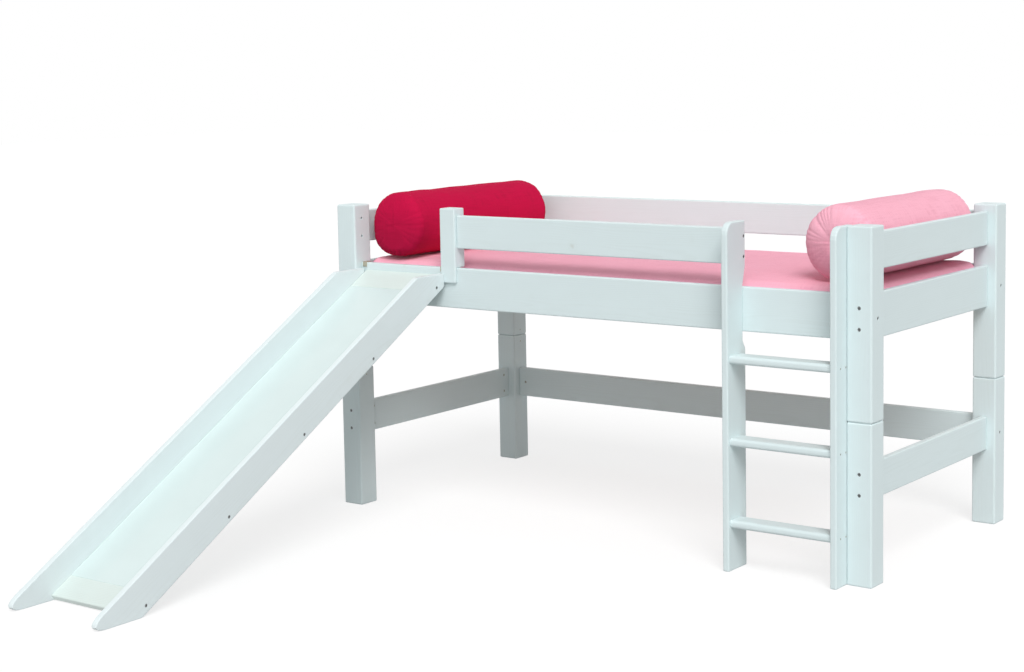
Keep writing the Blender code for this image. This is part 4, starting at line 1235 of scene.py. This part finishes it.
class SLIDEBED_OT_make_mattress(bpy.types.Operator):
    """Make the mattress in its cotton cover"""

    bl_idname = "slide_bed.make_mattress"
    bl_label = "Make mattress"

    def execute(self, context):
        low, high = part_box("mattress")
        low, high = low + Vector(MATTRESS_TRIM_LOW), high - Vector(MATTRESS_TRIM_HIGH)
        pad = new_box("mattress_cover", low, high)

        def upright(edge):
            first, second = (corner.co for corner in edge.verts)
            return abs(first.z - second.z) > (high.z - low.z) / 2

        bevel_edges(pad, MATTRESS_CORNER, 5, upright)
        for height, radius, steps in ((high.z, MATTRESS_TOP, 7), (low.z, MATTRESS_BOTTOM, 3)):
            bevel_edges(
                pad, radius, steps, lambda edge: all(abs(c.co.z - height) < 1e-5 for c in edge.verts)
            )
        inflate(pad, MATTRESS_VOXEL, MATTRESS_SWELL, lambda points: points[:, 2] < low.z + MATTRESS_HELD)
        self.dent(pad)
        self.crease(pad)
        map_cloth(pad)
        bedding = settings("bedding")
        # Painted light: the mattress's sides below the top's rounded rim take a lighter pink, for light
        # they don't get
        edge = (MATTRESS_SIDE_PAINTED_LIGHT, 0.8, (high.y + 1, high.y), (high.z - 0.012, high.z - 0.032))
        cover = cotton("mattress_cotton", bedding.mattress, MATTRESS_DEEP, edge)
        finish_padding(pad, "mattress", cover)
        return {"FINISHED"}

    def dent(self, pad):
        """Presses the cover in round the corner posts, on lines from a point inside each corner."""
        points = coordinates_of(pad)
        near = np.zeros(len(points), dtype=bool)
        for side_name, side in SIDES:
            for depth_name, depth in DEPTHS:
                low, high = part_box(f"post_{depth_name}_{side_name}")
                inner_x = (low.x if side > 0 else high.x) - side * POST_CLEARANCE
                inner_y = (high.y if depth > 0 else low.y) + depth * POST_CLEARANCE
                anchor = np.array((inner_x - side * DENT_DEPTH, inner_y + depth * DENT_DEPTH))
                reach = points[:, :2] - anchor
                out_x, out_y = reach[:, 0] * side, reach[:, 1] * -depth
                inside = (out_x > DENT_DEPTH) & (out_y > DENT_DEPTH)
                share = DENT_DEPTH / np.minimum(out_x[inside], out_y[inside])
                points[inside, :2] = anchor + reach[inside] * share[:, None]
                near |= (out_x > DENT_DEPTH / 2) & (out_y > DENT_DEPTH / 2)
        set_coordinates(pad, points)
        mesh = in_edit(pad, "VERT")
        mesh.verts.ensure_lookup_table()
        for index in np.flatnonzero(near):
            mesh.verts[index].select_set(True)
        bpy.ops.mesh.vertices_smooth(factor=0.5, repeat=5)
        leave_edit()

    def crease(self, pad):
        """Creases along the front edge and fainter ones across the top, and a dip under each bolster."""
        depth = settings("bedding").crease
        low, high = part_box("mattress")
        points, outward = coordinates_of(pad), normals_of(pad)
        slow = drift(points * (1, 2.0, 2.0), 3.1, 1)
        quick = drift(points * (1, 4.5, 3.0), 9.0, 2)
        front = points[:, 1] - low.y
        rows = np.sin((front + 0.010 * slow) * math.tau / CREASE_PITCH + 2.2 * quick)
        near_front = eased(front, 0.03, 0.08) * (1 - eased(front, 0.08, 0.30))
        up = np.clip(outward[:, 2], 0, 1)
        lift = depth * (0.34 * near_front * rows * (0.4 + 0.6 * eased(slow, -0.4, 0.5)) + 0.22 * quick)
        side = (1 - up) * depth * 0.35 * np.sin(points[:, 0] * math.tau / 0.21 + 3 * slow) * quick
        moved = points + outward * (lift * up + side)[:, None]
        for name in ("bolster_left", "bolster_right"):
            near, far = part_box(name)
            under = within(points[:, 0], near.x, far.x) * within(points[:, 1], near.y, far.y)
            moved[:, 2] -= under * up * DIP_DEPTH
        moved[:, 2] = np.minimum(moved[:, 2], high.z - 0.0006)
        moved = np.clip(moved, np.array(low) + (0.0005, 0.0005, 0.0003), np.array(high) - 0.0005)
        set_coordinates(pad, moved)


class SLIDEBED_OT_make_bolsters(bpy.types.Operator):
    """Make the two bolsters with their gathered ends"""

    bl_idname = "slide_bed.make_bolsters"
    bl_label = "Make bolsters"

    def execute(self, context):
        bedding = settings("bedding")
        colours = {
            "left": ("crimson_cover", bedding.crimson, CRIMSON_WEAVE_AND_PAINTED_SHADE),
            "right": ("pale_pink_cover", bedding.pink, PINK_WEAVE_AND_PAINTED_SHADE),
        }
        for side_name, (slot_name, colour, deep) in colours.items():
            near, far, dome, dimple, slump, fold, seed = BOLSTERS[side_name]
            body = f"bolster_{side_name}"
            low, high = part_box(body)
            radius = (high.x - low.x) / 2
            axis_z = high.z - radius
            low.y, high.y = low.y - near, high.y + far
            centre = (low + high) / 2
            centre.z = axis_z
            pad = self.plump(f"{body}_cover", centre, radius - BOLSTER_TRIM, high.y - low.y, dome, dimple)

            def at_ends(points):
                reach = np.hypot(points[:, 0] - centre.x, points[:, 2] - axis_z)
                ends = np.abs(points[:, 1] - centre.y) > (high.y - low.y) / 2 - BOLSTER_HELD_DEPTH
                return (reach < radius * BOLSTER_HELD_SHARE) & ends

            inflate(pad, BOLSTER_VOXEL, BOLSTER_SWELL, at_ends)
            self.sag(pad, centre.x, axis_z)
            self.slump(pad, axis_z, radius, low.y, slump)
            self.gather(pad, centre.x, axis_z, radius, low, high, fold, seed)
            map_cloth(pad, centre.x, axis_z)
            # Painted shade: the lower half of the near end is painted towards the deep colour, where it
            # faces away from the light
            shade = (deep, 0.42, (low.y + 0.11, low.y + 0.02), (axis_z + 0.06, axis_z - 0.05))
            finish_padding(pad, body, cotton(f"{body}_cotton", colour, deep, shade))
        return {"FINISHED"}

    def plump(self, name, centre, radius, length, dome, dimple):
        """Cylinder along the bed's depth whose ends are ringed out into domes, dimpled in the middle."""
        straight = length - 2 * (BOLSTER_TRIM + dome)
        pad = new_rod(name, radius, straight, centre, ALONG_Y, 64)
        for way in (-1, 1):
            mesh = in_edit(pad)
            pick(mesh, mesh.faces, lambda face: face.normal.y * way > 0.99)
            last, height = 1.0, 0.0
            for share in DOME_SHARES:
                rise = dome * (1 - share**DOME_POWER) ** (1 / DOME_POWER)
                rise -= dimple * max(0.0, 1 - share / DIMPLE_SHARE) ** 1.5
                bpy.ops.mesh.inset(thickness=(last - share) * radius)
                bpy.ops.transform.translate(value=(0, way * (rise - height), 0))
                last, height = share, rise
            leave_edit()
        return pad

    def sag(self, pad, axis_x, axis_z):
        """Fills the lower half out towards its corners, as a soft roll settles on what it lies on."""
        points = coordinates_of(pad)
        angle = np.arctan2(points[:, 2] - axis_z, points[:, 0] - axis_x)
        spread = np.abs(np.cos(angle)) ** SAG_POWER + np.abs(np.sin(angle)) ** SAG_POWER
        fuller = np.where(angle < 0, spread ** (-1 / SAG_POWER), 1.0)
        points[:, 0] = axis_x + (points[:, 0] - axis_x) * fuller
        points[:, 2] = axis_z + (points[:, 2] - axis_z) * fuller
        set_coordinates(pad, points)

    def slump(self, pad, axis_z, radius, near_y, amount):
        """Lets the lower half of the near end fall back under its upper half."""
        points = coordinates_of(pad)
        low_down = eased((axis_z - points[:, 2]) / radius, -0.15, 1.0)
        near = 1 - eased(points[:, 1], near_y, near_y + SLUMP_LENGTH)
        points[:, 1] += amount * low_down * near
        set_coordinates(pad, points)

    def gather(self, pad, axis_x, axis_z, radius, low, high, fold, seed):
        """Folds that fan out from the drawn-in middle of each end, slack creases, and a flat underside."""
        count = settings("bedding").gathers
        points, outward = coordinates_of(pad), normals_of(pad)
        across, up = points[:, 0] - axis_x, points[:, 2] - axis_z
        reach = np.hypot(across, up) / radius
        angle = np.arctan2(up, across)
        for way, end in ((-1, low.y), (1, high.y)):
            inward = np.abs(points[:, 1] - end)
            rim = np.stack([np.cos(angle), np.sin(angle), np.full(len(angle), way * 0.7 + seed)], 1)
            uneven = drift(rim, 1.7, seed)
            turns = angle * count / 2 + 1.9 * uneven + 0.35 * np.sin(7 * angle + seed)
            ridge = 1 - np.abs(np.sin(turns)) ** 0.7
            strength = 0.35 + 0.65 * eased(drift(rim, 2.6, seed + 4), -0.35, 0.35)
            spread = eased(reach, 0.15, 0.70) * (1 - eased(inward, 0.020, 0.085))
            points = points + outward * (-fold * ridge * strength * spread)[:, None]
        slack = drift(np.stack([angle * 0.9, points[:, 1] * 4, reach], 1), 1.6, seed + 9)
        fine = drift(np.stack([angle * 2.2, points[:, 1] * 11, reach], 1), 1.5, seed + 2)
        points = points + outward * (SLACK_DEPTH * slack + FINE_DEPTH * fine)[:, None]
        points[:, 2] = np.maximum(points[:, 2], low.z + 0.0004)
        points = np.clip(points, np.array(low) + 0.0003, np.array(high) - 0.0003)
        set_coordinates(pad, points)


# Stage


class SLIDEBED_OT_build_stage(bpy.types.Operator):
    """Lay the floor, set the light and place the camera"""

    bl_idname = "slide_bed.build_stage"
    bl_label = "Build stage"

    def execute(self, context):
        stage = settings("stage")
        scene = context.scene
        scene.view_settings.view_transform = "Standard"
        clear_selection()
        bpy.ops.mesh.primitive_plane_add(size=stage.floor_size)
        floor = take_new("floor")
        floor.data.materials.append(floor_finish())
        self.add_sun("key_light", stage.key_strength, KEY_FROM, 30)
        self.add_sun("fill_light", stage.fill_strength, FILL_FROM, 60)
        self.set_sky(scene, stage)
        self.add_camera(scene)
        return {"FINISHED"}

    def add_sun(self, name, strength, direction, spread):
        clear_selection()
        bpy.ops.object.light_add(type="SUN")
        sun = bpy.context.active_object
        sun.name = name
        sun.data.energy = strength
        sun.data.angle = math.radians(spread)
        sun.rotation_euler = Vector(direction).to_track_quat("Z", "Y").to_euler()

    def set_sky(self, scene, stage):
        world = bpy.data.worlds.new("studio")
        scene.world = world
        world.use_nodes = True
        tree = world.node_tree
        sky = stage.sky_strength
        strength = scaled(tree, seen_directly(tree), 1.0 - sky, sky)
        feed(tree, tree.nodes["Background"].inputs, {"Color": (1, 1, 1, 1), "Strength": strength})

    def add_camera(self, scene):
        width, height = IMAGE_SIZE
        sine, cosine = math.sin(CAMERA_PITCH), math.cos(CAMERA_PITCH)
        ahead = Vector((-math.sin(CAMERA_YAW) * cosine, math.cos(CAMERA_YAW) * cosine, -sine))
        level = ahead.cross(Vector((0, 0, 1))).normalized()
        above = level.cross(ahead)
        turn = Matrix.Rotation(CAMERA_ROLL, 3, -ahead)
        turned = Matrix((turn @ level, turn @ above, -ahead)).transposed().to_4x4()
        clear_selection()
        bpy.ops.object.camera_add()
        camera = bpy.context.active_object
        camera.name = "camera"
        camera.matrix_world = Matrix.Translation(CAMERA_PLACE) @ turned
        lens = camera.data
        lens.sensor_fit = "HORIZONTAL"
        lens.sensor_width = 36
        lens.lens = FOCAL_PIXELS / width * lens.sensor_width
        lens.shift_x = (width / 2 - OPTICAL_CENTRE[0]) / width
        lens.shift_y = (OPTICAL_CENTRE[1] - height / 2) / width
        lens.clip_end = 100
        scene.camera = camera


def seen_directly(tree):
    """1 where the camera sees a surface, also in a reflection or through glass, else 0."""
    rays = tree.nodes.new("ShaderNodeLightPath").outputs
    seen = sums(tree, "MAXIMUM", rays["Is Camera Ray"], rays["Is Glossy Ray"])
    return sums(tree, "MAXIMUM", seen, rays["Is Transmission Ray"])


def floor_finish():
    """Pale floor that the camera sees as white, with the object's shadow kept."""
    material = bpy.data.materials.new("pale_floor")
    material.use_nodes = True
    tree = material.node_tree
    plain = tree.nodes["Principled BSDF"]
    matt = {"Base Color": (0.5, 0.5, 0.5, 1), "Roughness": 0.9, "Specular IOR Level": 0.0}
    feed(tree, plain.inputs, matt)
    shadowed = node(tree, "ShaderNodeBsdfDiffuse", {"Color": (0.3, 0.3, 0.3, 1)})
    glow = node(tree, "ShaderNodeEmission", {"Color": (1, 1, 1, 1), "Strength": 0.74})
    white = node(tree, "ShaderNodeAddShader", {0: shadowed.outputs[0], 1: glow.outputs[0]})
    shaders = {0: seen_directly(tree), 1: plain.outputs[0], 2: white.outputs[0]}
    lit = node(tree, "ShaderNodeMixShader", shaders)
    tree.links.new(lit.outputs[0], tree.nodes["Material Output"].inputs["Surface"])
    return material


class SLIDEBED_PT_panel(bpy.types.Panel):
    """Settings and steps of the slide bed"""

    bl_idname = "SLIDEBED_PT_panel"
    bl_label = "Slide bed"
    bl_space_type = "VIEW_3D"
    bl_region_type = "UI"
    bl_category = "Slide bed"

    def draw(self, context):
        for group, kind in GROUPS.items():
            box = self.layout.box()
            for name in kind.__annotations__:
                box.prop(settings(group), name)
        for operator in OPERATORS:
            self.layout.operator(operator.bl_idname)


GROUPS = {
    "timber": SlideBedTimber,
    "fixings": SlideBedFixings,
    "bedding": SlideBedBedding,
    "stage": SlideBedStage,
}
OPERATORS = (
    SLIDEBED_OT_paint_boards,
    SLIDEBED_OT_coat_slide,
    SLIDEBED_OT_cut_hooks,
    SLIDEBED_OT_shape_sides,
    SLIDEBED_OT_plane_slats,
    SLIDEBED_OT_add_bolts,
    SLIDEBED_OT_add_nuts,
    SLIDEBED_OT_make_mattress,
    SLIDEBED_OT_make_bolsters,
    SLIDEBED_OT_build_stage,
)


def register():
    for kind in (*GROUPS.values(), *OPERATORS, SLIDEBED_PT_panel):
        bpy.utils.register_class(kind)
    for group, kind in GROUPS.items():
        setattr(bpy.types.Scene, f"slide_bed_{group}", PointerProperty(type=kind))


def unregister():
    for group in GROUPS:
        delattr(bpy.types.Scene, f"slide_bed_{group}")
    for kind in (SLIDEBED_PT_panel, *reversed(OPERATORS), *reversed(tuple(GROUPS.values()))):
        bpy.utils.unregister_class(kind)


def corners(bounds):
    return [list(corner) for corner in bounds]


def main():
    """Registers the add-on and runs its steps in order."""
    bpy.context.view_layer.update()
    register()
    for operator in OPERATORS:
        group, step = operator.bl_idname.split(".")
        getattr(getattr(bpy.ops, group), step)()
    clear_selection()


if __name__ == "__main__":
    main()
